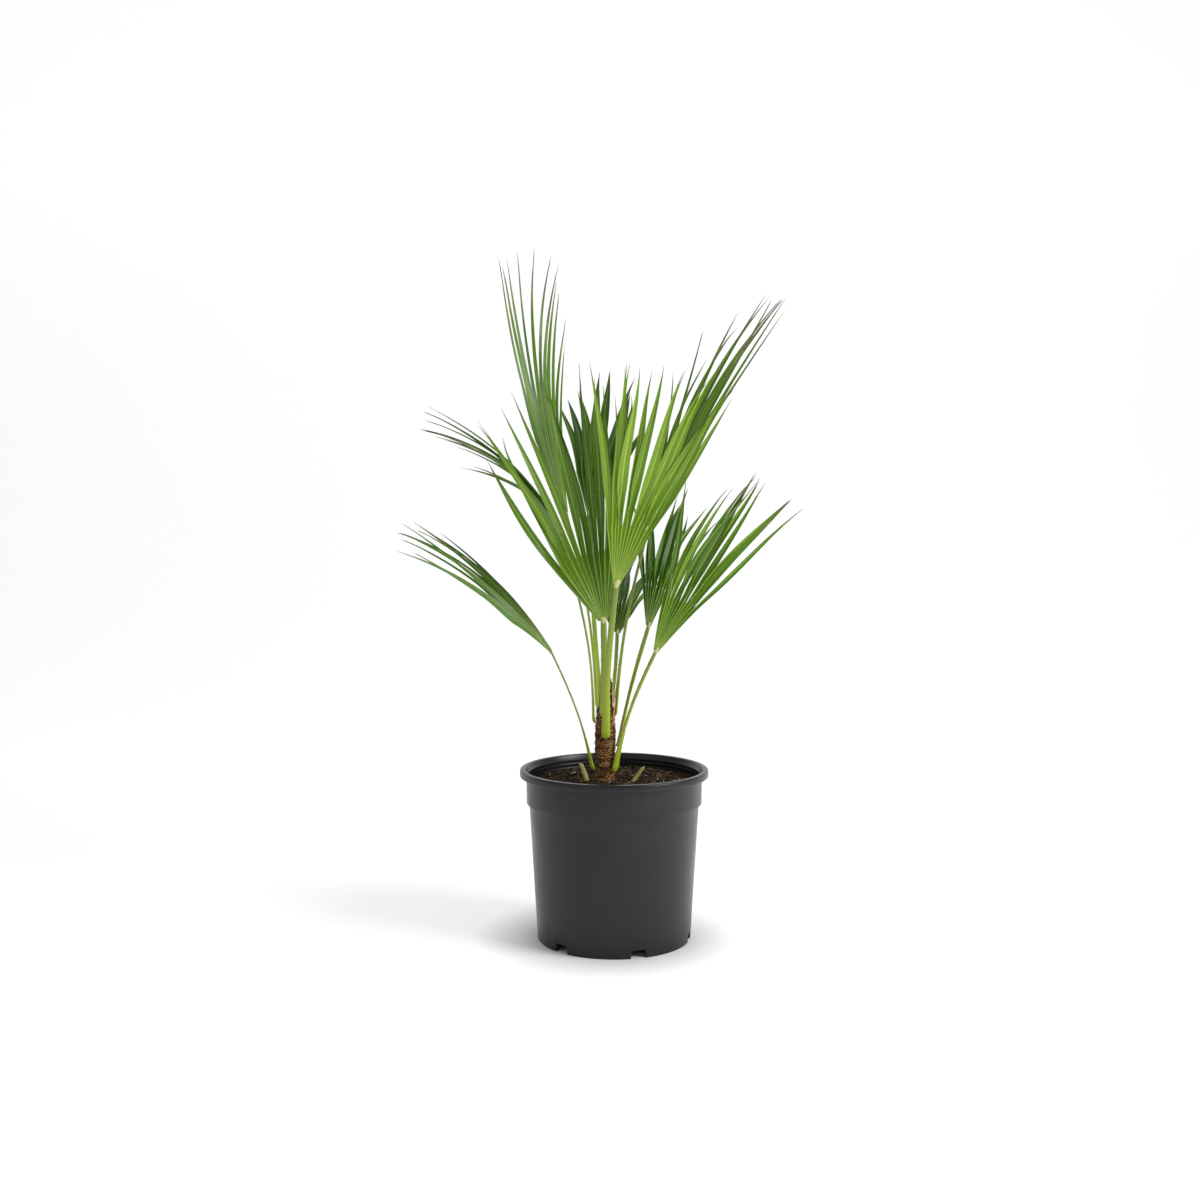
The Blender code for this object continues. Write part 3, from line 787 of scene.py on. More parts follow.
def loose_threads(starts, directions, share, dice):
    """Fine dry threads that curl away from the splits: a straight run plus a growing swing."""
    kept = dice.uniform(size=len(starts)) < share
    starts, directions = starts[kept], directions[kept]
    if not len(starts):
        return []
    at = np.linspace(0.0, 1.0, 10)[None, :, None]
    reach = dice.uniform(0.010, 0.034, (len(starts), 1, 1))
    swing = unit(dice.normal(size=(len(starts), 1, 3))) * dice.uniform(0.002, 0.007, (len(starts), 1, 1))
    line = starts[:, None] + directions[:, None] * reach * at + swing * np.sin(at * 2.6) * at
    wide, deep = cross_axes(line, np.array([1.0, 0.2, 0.1]))
    return [Strands(tube(line, wide * THREAD_GIRTH, deep * THREAD_GIRTH, 4), THREAD_SLOT)]


def build_fans(settings):
    """The leaflets of each frond's fan, one piece for each frond."""
    materials = leaf_materials(settings)
    for name, frond in FRONDS.items():
        parts = leaflet_strands(frond, LOOKS[name], settings)
        make_piece("leaflets_" + name, parts, materials, ["fan_" + name], 52.0)


def trunk_radius(height):
    """Trunk radius at a height above the pot's underside."""
    heights = [SOIL_TOP + step for step, _ in TRUNK_PROFILE]
    return np.interp(height, heights, [radius for _, radius in TRUNK_PROFILE])


def trunk_centre(height):
    """The trunk's middle, which leans evenly with height."""
    height = np.asarray(height, float)
    share = (height - SOIL_TOP) / TRUNK_HEIGHT
    return np.stack([TRUNK_X + TRUNK_LEAN * share, np.zeros_like(height), height], -1)


STALK_STATIONS = 72
STALK_SIDES = 20
STALK_TAIL = 9
FOOT_PRESS = 0.0009
TAIL_LENGTH = 0.020
TAIL_SINK = 0.0006


def stalk_path(frond):
    """Middle line, tangent, width and depth vectors of a petiole, by the source's rule: a
    straight line from the trunk's side to the hub plus a sideways bow of half a sine, with
    an axis that turns from round the trunk to across the blade."""
    along, across = blade_frame(frond)
    turn = math.radians(frond["foot_angle"])
    outward = np.array([math.cos(turn), math.sin(turn), 0.0])
    sideways = np.array([-math.sin(turn), math.cos(turn), 0.0])
    if np.dot(sideways, across) < 0.0:
        across = -across
    height = frond["foot_height"]
    reach = trunk_radius(height) + frond["foot_size"][1] / 2.0 + GAP
    foot = trunk_centre(height) + outward * reach
    end = np.array(frond["hub"]) - along * GAP
    share = np.linspace(0.0, 1.0, STALK_STATIONS)[:, None]
    centre = foot + (end - foot) * share + np.array([frond["bow"], 0.0, 0.0]) * np.sin(np.pi * share)
    tangent = unit(np.gradient(centre, axis=0))
    wide = sideways * (1.0 - share) + across * share
    wide = unit(wide - tangent * (wide * tangent).sum(-1, keepdims=True))
    slim = np.minimum(1.0, share * 2.6) ** 0.6
    width = frond["foot_size"][0] + (frond["neck_size"][0] - frond["foot_size"][0]) * slim
    depth = frond["foot_size"][1] + (frond["neck_size"][1] - frond["foot_size"][1]) * slim
    return centre, tangent, wide, width, depth, outward


def stalk_strands(frond, look):
    """A petiole with a rounded foot, a shallow groove on its inner side, and a keel that
    thins to a point behind the blade."""
    centre, tangent, wide, width, depth, outward = stalk_path(frond)
    deep = np.cross(tangent, wide)
    run = np.linalg.norm(centre - centre[0], axis=-1, keepdims=True)
    rounding = frond["foot_size"][0] * 0.75
    rise = np.clip(run / rounding, 0.0, 1.0)
    foot = np.sqrt(np.clip(1.0 - (1.0 - rise) ** 2, 0.02, 1.0))
    width = width * foot
    press = frond["foot_size"][1] * 0.22 + FOOT_PRESS
    centre = centre - outward * press * (1.0 - rise) ** 2
    depth = depth * (0.55 + 0.45 * foot)
    tail = np.linspace(0.0, 1.0, STALK_TAIL + 1)[1:]
    tail_distance = FAN_START + tail * TAIL_LENGTH
    tail_normal = blade_normal(frond, np.zeros(STALK_TAIL), tail_distance) * look["pleat"]
    tail_thin = (1.0 - tail)[:, None]
    tail_centre = blade_place(frond, np.zeros(STALK_TAIL), tail_distance)
    tail_centre = tail_centre - tail_normal * (TAIL_SINK + TAIL_SINK * tail_thin)
    neck_width, neck_depth = width[-1, 0], depth[-1, 0]
    centre = np.concatenate([centre, tail_centre])
    wide = np.concatenate([wide, np.repeat(wide[-1:], STALK_TAIL, 0)])
    deep = np.concatenate([deep, np.repeat(deep[-1:], STALK_TAIL, 0)])
    width = np.concatenate([width, neck_width * tail_thin ** 0.8 + 0.0003])
    depth = np.concatenate([depth, neck_depth * 0.75 * tail_thin + 0.0003])
    corner = circle(STALK_SIDES)[None, :, None]
    inner_side = -np.sign((deep @ outward))[:, None, None]
    sine = np.sin(corner)
    groove = np.where(sine * inner_side > 0.0, 0.62 - 0.30 * (1.0 - np.cos(corner) ** 2) ** 2, 1.0)
    rings = (
        centre[:, None]
        + wide[:, None] * width[:, None] / 2.0 * np.cos(corner)
        + deep[:, None] * depth[:, None] / 2.0 * sine * groove
    )
    rings = rings + unit(rings - centre[:, None]) * (ripple(rings, 0.010, frond["seed"]) * 0.00012)[..., None]
    share = np.minimum(np.linspace(0.0, 1.0 + STALK_TAIL / STALK_STATIONS, len(centre)), 1.0)
    places = np.stack(np.broadcast_arrays(np.cos(corner[..., 0]), share[:, None]), -1)
    return Strands(rings, 0, places[None])


def spine_strands(frond, settings):
    """Marginal spines: short cones that lean outwards and up, on both edges."""
    dice = np.random.default_rng(2000 + frond["seed"])
    centre, tangent, wide, width, _, _ = stalk_path(frond)
    run = np.linalg.norm(centre[-1] - centre[0])
    pairs = max(4, int(run * 0.78 / settings.spine_spacing))
    share = np.sort(dice.uniform(0.10, 0.90, (2, pairs)), 1).reshape(-1)
    edge = np.repeat([-1.0, 1.0], pairs)[:, None]
    number = (share * (STALK_STATIONS - 1)).astype(int)
    out = wide[number] * edge
    root = centre[number] + out * width[number] * 0.46
    aim = unit(out * dice.uniform(0.6, 1.1, (len(share), 1)) + tangent[number])
    reach = settings.spine_length * dice.uniform(0.45, 1.0, len(share)) * (1.1 - 0.6 * share)
    at = np.array([0.0, 0.35, 0.7, 1.0])
    line = root[:, None] + aim[:, None] * (reach[:, None] * at)[..., None]
    line = line + tangent[number][:, None] * (reach[:, None] * 0.25 * at ** 2)[..., None]
    spine_wide, spine_deep = cross_axes(line, np.array([0.1, 1.0, 0.2]))
    girth = (np.array([1.0, 0.72, 0.38, 0.06]) * 0.00050)[None, :, None]
    return Strands(tube(line, spine_wide * girth * 1.3, spine_deep * girth, 5), 1)


def hastula_strands(frond, look):
    """The pale crest at the hub: a flattened bead whose girth is the root of one less the
    square of the way along it, roughened by noise."""
    along, across = blade_frame(frond)
    way = np.linspace(-0.985, 0.985, 14)[:, None]
    swell = np.sqrt(1.0 - way ** 2) * (1.0 + 0.25 * way)
    big = look["hastula"]
    normal = blade_normal(frond, np.zeros(1), np.full(1, FAN_START))[0] * look["pleat"]
    centre = np.array(frond["hub"]) + along * (way * 0.0052 * (0.6 + 0.4 * big)) + normal * 0.0011
    wide = across * swell * (frond["neck_size"][0] * (0.36 + 0.16 * big))
    deep = normal * swell * (0.0009 + 0.0010 * big)
    rings = tube(centre, wide, deep, 14)
    rings = rings + unit(rings - centre[:, None]) * (ripple(rings, 0.0028, 31) * 0.00028)[..., None]
    return Strands(rings, 2)


def build_stalks(settings):
    """The petioles with their spines and crests, one piece for each frond."""
    skin = stalk_skin(settings)
    spine = Finish("spine", tuple(settings.spine), 0.5)
    spine.bump(spine.noise(spine.coordinates(), 1800.0), 0.0001)
    crest = grainy("hastula", scaled(settings.hastula, 0.62), tuple(settings.hastula), 700.0, 0.6, 0.0003)
    for name, frond in FRONDS.items():
        look = LOOKS[name]
        parts = [stalk_strands(frond, look), spine_strands(frond, settings), hastula_strands(frond, look)]
        materials = [skin, spine.material, crest]
        make_piece("stalk_" + name, parts, materials, ["petiole_" + name], 60.0)


def arc(centre_radius, centre_height, radius, start, end, points=5):
    """Points of a round stretch of the pot's outline, from one angle to another."""
    turn = np.radians(np.linspace(start, end, points))
    return [(centre_radius + radius * math.cos(a), centre_height + radius * math.sin(a)) for a in turn]


def pot_outline(pot):
    """Radius and height along the pot's section, from the middle of its underside round
    the outside and the rim, and down the inside. The third value says how much of a
    notch's height a point takes."""
    ring_inner = pot.base_radius - pot.ring_width
    lip_low = pot.height - pot.lip_height
    outline = [
        (pot.channel_radius - 0.0030, 0.0, 0.0),
        (pot.channel_radius, pot.channel_height, 0.0),
        (ring_inner - 0.0008, pot.channel_height, 0.0),
        (ring_inner, 0.0004, 1.0),
        (ring_inner + 0.0004, 0.0, 1.0),
        (pot.base_radius - 0.0006, 0.0, 1.0),
        (pot.base_radius - 0.0001, 0.0005, 1.0),
        (pot.base_radius + 0.0007, 0.0115, 0.0),
    ]
    body_low = pot.base_radius + 0.0007
    for share in np.linspace(0.0, 1.0, 9)[1:]:
        radius = body_low + (pot.body_radius - body_low) * share
        outline.append((float(radius), float(0.0115 + (pot.collar_foot - 0.0022 - 0.0115) * share), 0.0))
    turned_out = arc(pot.collar_radius - 0.0011, pot.collar_foot + 0.0004, 0.0009, -70.0, 0.0)
    lip_foot = arc(pot.rim_radius - 0.0016, lip_low + 0.0012, 0.0014, -85.0, 0.0)
    lip_top = arc(pot.rim_radius - 0.0022, pot.height - 0.0018, 0.0018, 0.0, 90.0)
    opening = arc(pot.opening_radius + 0.0016, pot.height - 0.0014, 0.0014, 90.0, 180.0)
    outline += [(pot.body_radius + 0.0004, pot.collar_foot - 0.0010, 0.0)]
    outline += [(radius, height, 0.0) for radius, height in turned_out]
    outline += [
        (pot.collar_radius, lip_low - 0.0012, 0.0),
        (pot.collar_radius + 0.0008, lip_low - 0.0003, 0.0),
    ]
    outline += [(radius, height, 0.0) for radius, height in lip_foot + lip_top + opening]
    ridges = np.linspace(pot.height - 0.0060, pot.collar_foot + 0.0060, 61)
    wave = 0.00028 * np.maximum(0.0, np.sin((pot.height - ridges) * 2.0 * np.pi / 0.0046)) ** 2
    outline += [(float(pot.collar_radius - pot.wall - w), float(z), 0.0) for z, w in zip(ridges, wave)]
    outline += [
        (pot.collar_radius - pot.wall - 0.0005, pot.collar_foot + 0.0010, 0.0),
        (pot.body_radius - pot.wall, pot.collar_foot - 0.0035, 0.0),
        (pot.base_radius - pot.wall - 0.0006, pot.channel_height + pot.wall, 0.0),
        (pot.channel_radius - pot.wall, pot.channel_height + pot.wall, 0.0),
        (pot.channel_radius - 0.0030 - pot.wall, pot.wall, 0.0),
    ]
    return np.array(outline)


NOTCH_SLOPE = 1.2


def build_pot(pot):
    """The pot turned about its axis. Where a notch passes, the foot ring's underside rises
    by an eased share of the notch's height."""
    outline = pot_outline(pot)
    turns = np.radians(np.arange(0.0, 360.0, 1.0))
    edge = math.radians(NOTCH_SLOPE)
    steps = (0.0, 0.3, 0.7, 1.0)
    corner = [pot.notch_angle * sign - edge * sign * share for sign in (-1, 1) for share in steps]
    places = pot.first_notch + np.arange(pot.notches) * 2.0 * np.pi / pot.notches
    corners = (places[:, None] + corner).reshape(-1) % (2.0 * np.pi)
    turns = np.unique(np.round(np.concatenate([turns, corners]), 6))
    apart = np.abs((turns[:, None] - places + np.pi) % (2.0 * np.pi) - np.pi).min(1)
    cut = np.clip((pot.notch_angle - apart) / edge, 0.0, 1.0) ** 0.7
    radius = outline[:, 0:1]
    height = outline[:, 1:2] + outline[:, 2:3] * cut * pot.notch_height
    rings = np.stack([radius * np.sin(turns), -radius * np.cos(turns), height], -1)
    make_piece("pot_shell", [Strands(rings)], [pot_plastic(tuple(pot.plastic))], ["pot"], 32.0)


# How far the mix falls towards the wall: radii, and the fall at each
SOIL_FALL = ((0.0, 0.046, 0.062, 0.078, 0.095), (0.0, 0.0, -0.0006, -0.0014, -0.0022))


def soil_height(x, y, relief):
    """Height of the potting mix: level round the trunk, lower at the wall, plus noise."""
    radius = np.hypot(x, y)
    level = SOIL_TOP + np.interp(radius, *SOIL_FALL)
    points = np.stack([x, y, np.zeros_like(x)], -1)
    lumps = ripple(points, 0.016, 41) + 0.6 * ripple(points, 0.0065, 42) + 0.35 * ripple(points, 0.0028, 43)
    calm = ease((radius - 0.010) / 0.010) * ease((0.0950 - radius) / 0.004)
    return level + lumps * relief * (0.25 + 0.75 * calm)


def build_soil(soil, pot):
    """The potting mix: the pot's inside up to the wall, then a lumpy top in rings."""
    inner = pot.collar_radius - pot.wall - 0.0005 - GAP
    columns = 300
    turn = circle(columns)
    walls = np.array([
        (pot.channel_radius - 0.0030 - pot.wall - GAP, pot.wall + GAP),
        (pot.channel_radius - pot.wall - GAP, pot.channel_height + pot.wall + GAP),
        (pot.base_radius - pot.wall - 0.0006 - GAP, pot.channel_height + pot.wall + GAP),
        (pot.body_radius - pot.wall - GAP, pot.collar_foot - 0.0035),
        (inner, pot.collar_foot + 0.0010 + GAP),
    ])
    radii = np.linspace(inner, 0.0010, 90)
    radius = np.concatenate([walls[:, 0], radii])[:, None]
    x, y = radius * np.sin(turn), -radius * np.cos(turn)
    height = soil_height(x, y, soil.relief)
    height[:len(walls)] = walls[:, 1:2]
    rings = np.stack([x, y, height], -1)
    light = blended(soil.peat, soil.bark, 0.5)
    mix = grainy("potting_mix", scaled(soil.peat, 0.45), light, 420.0, 0.95, 0.0016)
    make_piece("soil_bed", [Strands(rings)], [mix], ["soil"], 80.0)


def scattered(count, dice, relief, sink):
    """Places spread evenly over the mix, clear of the trunk, sunk a little into it."""
    radius = np.sqrt(dice.uniform(0.0, 1.0, count * 2)) * 0.0905
    turn = dice.uniform(0.0, 2.0 * np.pi, count * 2)
    x, y = radius * np.cos(turn), radius * np.sin(turn)
    clear = np.hypot(x - TRUNK_X, y) > 0.0135
    x, y = x[clear][:count], y[clear][:count]
    return np.stack([x, y, soil_height(x, y, relief) + sink], -1)


def lumps(places, sizes, flatness, sides, dice):
    """Irregular closed lumps: squashed beads in random directions with uneven corners."""
    count = len(places)
    way = np.array([-0.92, -0.45, 0.25, 0.90])
    axis = unit(dice.normal(size=(count, 3)) * (1.0, 1.0, 0.35))
    hint = unit(dice.normal(size=(count, 3)) * (1.0, 1.0, 0.2))
    wide = unit(np.cross(axis, hint))
    deep = np.cross(axis, wide)
    swell = np.sqrt(1.0 - way ** 2)
    centre = places[:, None] + axis[:, None] * (way * sizes[:, None])[..., None]
    rough = dice.uniform(0.75, 1.2, (count, len(way), sides, 1))
    corner = circle(sides)[None, None, :, None]
    girth = (sizes[:, None] * swell)[..., None, None]
    spread = wide[:, None, None] * np.cos(corner) * 0.75 + deep[:, None, None] * np.sin(corner) * flatness
    return centre[:, :, None] + spread * girth * rough


def build_soil_bits(soil):
    """Bark chips, white grains and loose fibres lying on the potting mix."""
    dice = np.random.default_rng(51)
    places = scattered(soil.chips, dice, soil.relief, 0.0003)
    sizes = dice.uniform(0.0008, 0.0030, len(places))
    rings = lumps(places, sizes, 0.38, 6, dice)
    tones = [
        grainy(f"bark_chip_{number}", scaled(soil.bark, dark), scaled(soil.bark, light), 900.0, 0.9, 0.0004)
        for number, (dark, light) in enumerate(((0.15, 0.5), (0.3, 0.9), (0.5, 1.3), (0.9, 2.3)))
    ]
    chosen = dice.choice(4, len(places), p=(0.42, 0.32, 0.18, 0.08))[:, None, None]
    make_piece("bark_chips", [Strands(rings, chosen)], tones, sharp=28.0)

    places = scattered(soil.grains, dice, soil.relief, 0.0006)
    sizes = dice.uniform(0.0005, 0.0013, len(places))
    perlite = grainy("perlite", scaled(soil.perlite, 0.7), tuple(soil.perlite), 1500.0, 0.85, 0.0002)
    grains = Strands(lumps(places, sizes, 0.7, 7, dice))
    make_piece("perlite_grains", [grains], [perlite], sharp=50.0)

    places = scattered(soil.fibres, dice, soil.relief, 0.0008)
    at = np.linspace(-1.0, 1.0, 9)[None, :, None]
    count = len(places)
    reach = dice.uniform(0.003, 0.011, (count, 1, 1))
    aim = unit(dice.normal(size=(count, 1, 3)) * (1.0, 1.0, 0.22))
    curl = unit(dice.normal(size=(count, 1, 3)) * (1.0, 1.0, 0.5)) * reach
    curl = curl * dice.uniform(0.1, 0.5, (count, 1, 1))
    line = places[:, None] + aim * reach * at + curl * (0.5 - at ** 2)
    distance = np.hypot(line[..., 0], line[..., 1])[..., None]
    line = line * np.where(distance > 0.0930, 0.0930 / distance, 1.0) ** (1.0, 1.0, 0.0)
    floor = soil_height(line[..., 0], line[..., 1], soil.relief) + 0.0002
    line[..., 2] = np.maximum(line[..., 2], floor)
    wide, deep = cross_axes(line, np.array([0.05, 0.1, 1.0]))
    girth = dice.uniform(0.00012, 0.00042, (count, 1, 1)) * (1.0 - 0.6 * at ** 4)
    tones = [
        grainy("mix_fibre_dark", scaled(soil.fibre, 0.15), scaled(soil.fibre, 0.4), 800.0),
        grainy("mix_fibre_tan", scaled(soil.fibre, 0.5), tuple(soil.fibre), 800.0),
    ]
    chosen = dice.choice(2, count, p=(0.55, 0.45))[:, None, None]
    fibres = Strands(tube(line, wide * girth, deep * girth, 5), chosen)
    make_piece("mix_fibres", [fibres], tones)


def sheath_wave(turn):
    """How far a leaf sheath's edge rises round the trunk: low at the front, with chevrons."""
    fold = np.abs((turn * 2.0 / (2.0 * np.pi)) % 1.0 - 0.5) * 2.0
    return 0.0042 * fold + 0.0016 * np.cos(turn + 1.2)


def trunk_surface(turn, height, trunk):
    """A place on the trunk: the source's radius, plus a saw tooth for each sheath, plus
    crossed diagonal ripples for its fibres."""
    rise = (height - SOIL_TOP - sheath_wave(turn)) / trunk.sheath_pitch
    tooth = rise % 1.0
    step = trunk.sheath_step * (tooth ** 1.5 * (1.0 - ease((tooth - 0.93) / 0.07)) - 0.35)
    weave = 0.00022 * (np.sin(turn * 17.0 + height * 1500.0) + np.sin(turn * 19.0 - height * 1300.0))
    radius = trunk_radius(height) + step + weave
    centre = trunk_centre(height)
    direction = np.stack([np.cos(turn), np.sin(turn), np.zeros_like(turn)], -1)
    return centre + direction * radius[..., None], direction


def build_trunk(trunk):
    """The trunk's bark as one closed surface, with fibres wrapped over it both ways."""
    dice = np.random.default_rng(61)
    low, high = TRUNK_LOW.z, TRUNK_HIGH.z
    turn, height = np.meshgrid(circle(180), np.linspace(low, high, 150))
    rings, _ = trunk_surface(turn, height, trunk)
    rings[..., 2] = height
    bark = grainy(
        "trunk_bark", scaled(trunk.bark, 0.28), tuple(trunk.bark), 520.0, 0.9, 0.0007, (1.0, 1.0, 0.5))
    tones = [
        grainy("trunk_fibre_light", scaled(trunk.light_fibre, 0.55), tuple(trunk.light_fibre), 700.0),
        grainy("trunk_fibre_mid", scaled(trunk.bark, 0.6), scaled(trunk.bark, 1.5), 700.0),
        grainy("trunk_fibre_dark", scaled(trunk.dark_fibre, 0.4), tuple(trunk.dark_fibre), 700.0),
    ]
    make_piece("trunk_bark", [Strands(rings)], [bark], ["trunk"], 70.0)

    count = trunk.fibres
    at = np.linspace(-1.0, 1.0, 11)[None, :]
    start = dice.uniform(0.0, 2.0 * np.pi, (count, 1))
    level = dice.uniform(low + 0.002, high - 0.006, (count, 1))
    half = dice.uniform(0.25, 0.85, (count, 1))
    slope = dice.choice([-1.0, 1.0], (count, 1)) * dice.uniform(0.0020, 0.0085, (count, 1))
    follow = dice.uniform(size=(count, 1)) < 0.45
    turn = start + half * at
    height = np.where(follow, level + sheath_wave(turn) - sheath_wave(start), level + slope * at)
    height = np.clip(height, low + 0.0008, high - 0.0008)
    line, direction = trunk_surface(turn, height, trunk)
    stand = dice.uniform(0.0001, 0.0005, (count, 1)) + dice.uniform(0.0, 0.0012, (count, 1)) * at ** 6
    line = line + direction * stand[..., None]
    wide, deep = cross_axes(line, direction)
    girth = (dice.uniform(0.00016, 0.00052, (count, 1)) * (1.0 - 0.7 * at ** 4))[..., None]
    chosen = dice.choice(3, count, p=(0.42, 0.34, 0.24))[:, None, None]
    fibres = Strands(tube(line, wide * girth, deep * girth, 5), chosen)
    make_piece("trunk_fibres", [fibres], tones)
    build_scraps(trunk, tones, dice)


def build_scraps(trunk, tones, dice):
    """Ragged sheath scraps and curled fibres that stand between the petioles: each is a
    rising line with a sideways curl, flat and thin for a scrap and round for a fibre."""
    parts = []
    top = SOIL_TOP + TRUNK_HEIGHT
    for count, reach, flat, girth, curl, chances in (
        (trunk.scraps, (0.018, 0.052), 5.0, (0.00050, 0.0011), 0.10, (0.08, 0.30, 0.62)),
        (110, (0.006, 0.040), 1.0, (0.00010, 0.00024), 0.30, (0.45, 0.25, 0.30)),
    ):
        at = np.linspace(0.0, 1.0, 12)[None, :]
        start = dice.uniform(0.0, 2.0 * np.pi, (count, 1))
        level = dice.uniform(top - 0.034, top - 0.002, (count, 1))
        length = dice.uniform(*reach, (count, 1))
        foot, direction = trunk_surface(start, level, trunk)
        lean = dice.uniform(-0.02, 0.16, (count, 1, 1))
        up = np.array([0.0, 0.0, 1.0])
        line = foot + (up + direction * lean) * (length * at)[..., None]
        swing = unit(dice.normal(size=(count, 1, 3)) * (1.0, 1.0, 0.3)) * length[..., None] * curl
        line = line + swing * np.sin(at * dice.uniform(2.0, 7.0, (count, 1)))[..., None] * at[..., None]
        line[..., 0] = TRUNK_X + 0.0012 + (line[..., 0] - TRUNK_X - 0.0012) * (1.0 - 0.35 * at)
        line[..., 1] = line[..., 1] * (1.0 - 0.35 * at)
        around = np.stack([-np.sin(start), np.cos(start), np.zeros_like(start)], -1)
        wide, deep = cross_axes(line, around)
        half = dice.uniform(*girth, (count, 1)) * (1.0 - 0.85 * at ** 2)
        ragged = 1.0 + 0.35 * np.sin(at * dice.uniform(12.0, 30.0, (count, 1))) * (flat > 1.0)
        chosen = dice.choice(3, count, p=chances)[:, None, None]
        wide = wide * (half * ragged)[..., None] * flat ** 0.5
        rings = tube(line, wide, deep * half[..., None] / flat ** 0.5, 6)
        parts.append(Strands(rings, chosen))
    make_piece("sheath_scraps", parts, tones, sharp=60.0)


def build_stubs(trunk):
    """Cut stubs of old petioles: a grooved stalk that leans and thins to a slanting end."""
    straw = grainy(
        "dry_straw", scaled(trunk.straw, 0.45), tuple(trunk.straw), 900.0, 0.7, 0.0005, (1.0, 1.0, 0.1))
    for name, stub in STUBS.items():
        share = np.linspace(0.0, 1.0, 30)[:, None]
        foot = np.array([*stub["foot"], SOIL_TOP + GAP])
        top = np.array([*stub["top"], SOIL_TOP + GAP + stub["height"]])
        centre = foot + (top - foot) * share
        corner = circle(20)[None, :, None]
        scale = 1.15 - 0.20 * share ** 2
        groove = 1.0 + 0.10 * np.cos(corner * 6.0)
        wide = np.array([1.0, 0.0, 0.0]) * stub["size"][0] / 2.0
        deep = np.array([0.0, 1.0, 0.0]) * stub["size"][1] / 2.0
        rings = centre[:, None] + (wide * np.cos(corner) + deep * np.sin(corner)) * scale[:, None] * groove
        slant = np.cos(corner[..., 0]) * 0.0006 * share ** 6
        rings[..., 2] += slant * (1.0 if stub["top"][0] > 0.0 else -1.0)
        make_piece("cut_" + name, [Strands(rings)], [straw], [name], 50.0)


def aim_turn(direction):
    """The turn that points an object's -Z along a direction, with its Y up."""
    x, y, z = unit(direction)
    return (math.acos(-z), 0.0, math.atan2(-x, y))


def area_light(name, place, aim, size, power):
    """A square soft light that points at a place."""
    light = bpy.data.lights.new(name, "AREA")
    light.size = size
    light.energy = power
    item = bpy.data.objects.new(name, light)
    item.location = place
    item.rotation_euler = aim_turn(np.array(aim) - np.array(place))
    bpy.context.scene.collection.objects.link(item)


# The floor's front edge, where it starts to curve up and by what radius, and its extent
FLOOR_FRONT = -4.0
WALL_START = 1.2
WALL_CURVE = 1.6
WALL_TOP = 5.0
FLOOR_HALF_WIDTH = 5.0

KEY_PLACE, KEY_AIM, KEY_SIZE = (1.55, -0.75, 1.05), (0.0, 0.0, 0.25), 0.9
FILL_PLACE, FILL_AIM, FILL_SIZE = (-1.3, -1.1, 1.3), (0.0, 0.0, 0.35), 1.4
CAMERA_PLACE = (-0.0157, -1.537, 0.4685)
SENSOR_WIDTH = 36.0


def build_stage(stage):
    """A pale floor that curves up into a wall behind, by a quarter circle, with light from
    all round, a key from the right and a weak fill. The floor glows, but its glow fades to
    nothing towards the pot's axis, which is a painted shade under and round the pot."""
    sweep = np.radians(np.linspace(0.0, 90.0, 25))
    wall = WALL_START + WALL_CURVE
    depth = np.concatenate([[FLOOR_FRONT], WALL_START + WALL_CURVE * np.sin(sweep), [wall]])
    height = np.concatenate([[0.0], WALL_CURVE * (1.0 - np.cos(sweep)), [WALL_TOP]])
    side = np.array([-FLOOR_HALF_WIDTH, FLOOR_HALF_WIDTH])
    points = np.stack(np.broadcast_arrays(side[None, :], depth[:, None], height[:, None]), -1).reshape(-1, 3)
    first = np.arange(len(depth) - 1)[:, None] * 2
    mesh = bpy.data.meshes.new("floor")
    mesh.from_pydata(points.tolist(), [], (first + [0, 1, 3, 2]).tolist())
    mesh.polygons.foreach_set("use_smooth", np.ones(len(mesh.polygons), bool))
    finish = Finish("floor", tuple(stage.floor), 0.9, specular=0.1)
    speckle = finish.noise(finish.coordinates(), 6.0)
    finish.colour(finish.mix(speckle, scaled(stage.floor, 0.995), tuple(stage.floor)))
    finish.shader.inputs["Emission Color"].default_value = (1.0, 1.0, 1.0, 1.0)
    flat = finish.node("ShaderNodeVectorMath", operation="MULTIPLY")
    flat.inputs[1].default_value = (1.0, 1.0, 0.0)
    finish.link(finish.coordinates(), flat.inputs[0])
    apart = finish.node("ShaderNodeVectorMath", operation="LENGTH")
    finish.link(flat.outputs["Vector"], apart.inputs[0])
    # Painted shade under and round the pot: the floor's glow is nothing within 0.84 of the pot's outer radius
    # from its axis and grows to full strength at 1.5 of that radius.
    glow = finish.levels(apart.outputs["Value"], 0.0, stage.glow, POT_HIGH.x * 0.84, POT_HIGH.x * 1.5)
    finish.link(glow, finish.shader.inputs["Emission Strength"])
    mesh.materials.append(finish.material)
    floor = bpy.data.objects.new("floor", mesh)
    bpy.context.scene.collection.objects.link(floor)

    world = bpy.data.worlds.new("studio")
    world.use_nodes = True
    nodes, links = world.node_tree.nodes, world.node_tree.links
    background = nodes["Background"]
    background.inputs["Color"].default_value = (1.0, 1.0, 1.0, 1.0)
    path = nodes.new("ShaderNodeLightPath")
    strength = nodes.new("ShaderNodeMapRange")
    strength.inputs["To Min"].default_value = stage.sky
    strength.inputs["To Max"].default_value = 1.0
    links.new(path.outputs["Is Camera Ray"], strength.inputs["Value"])
    links.new(strength.outputs["Result"], background.inputs["Strength"])
    bpy.context.scene.world = world
    area_light("key", KEY_PLACE, KEY_AIM, KEY_SIZE, stage.key)
    area_light("fill", FILL_PLACE, FILL_AIM, FILL_SIZE, stage.fill)
    bpy.context.scene.view_settings.view_transform = "Standard"

    camera = bpy.data.cameras.new("camera")
    camera.lens = stage.lens
    camera.sensor_width = SENSOR_WIDTH
    item = bpy.data.objects.new("camera", camera)
    item.location = CAMERA_PLACE
    item.rotation_euler = (math.pi / 2.0 - stage.tilt, 0.0, 0.0)
    bpy.context.scene.collection.objects.link(item)
    bpy.context.scene.camera = item


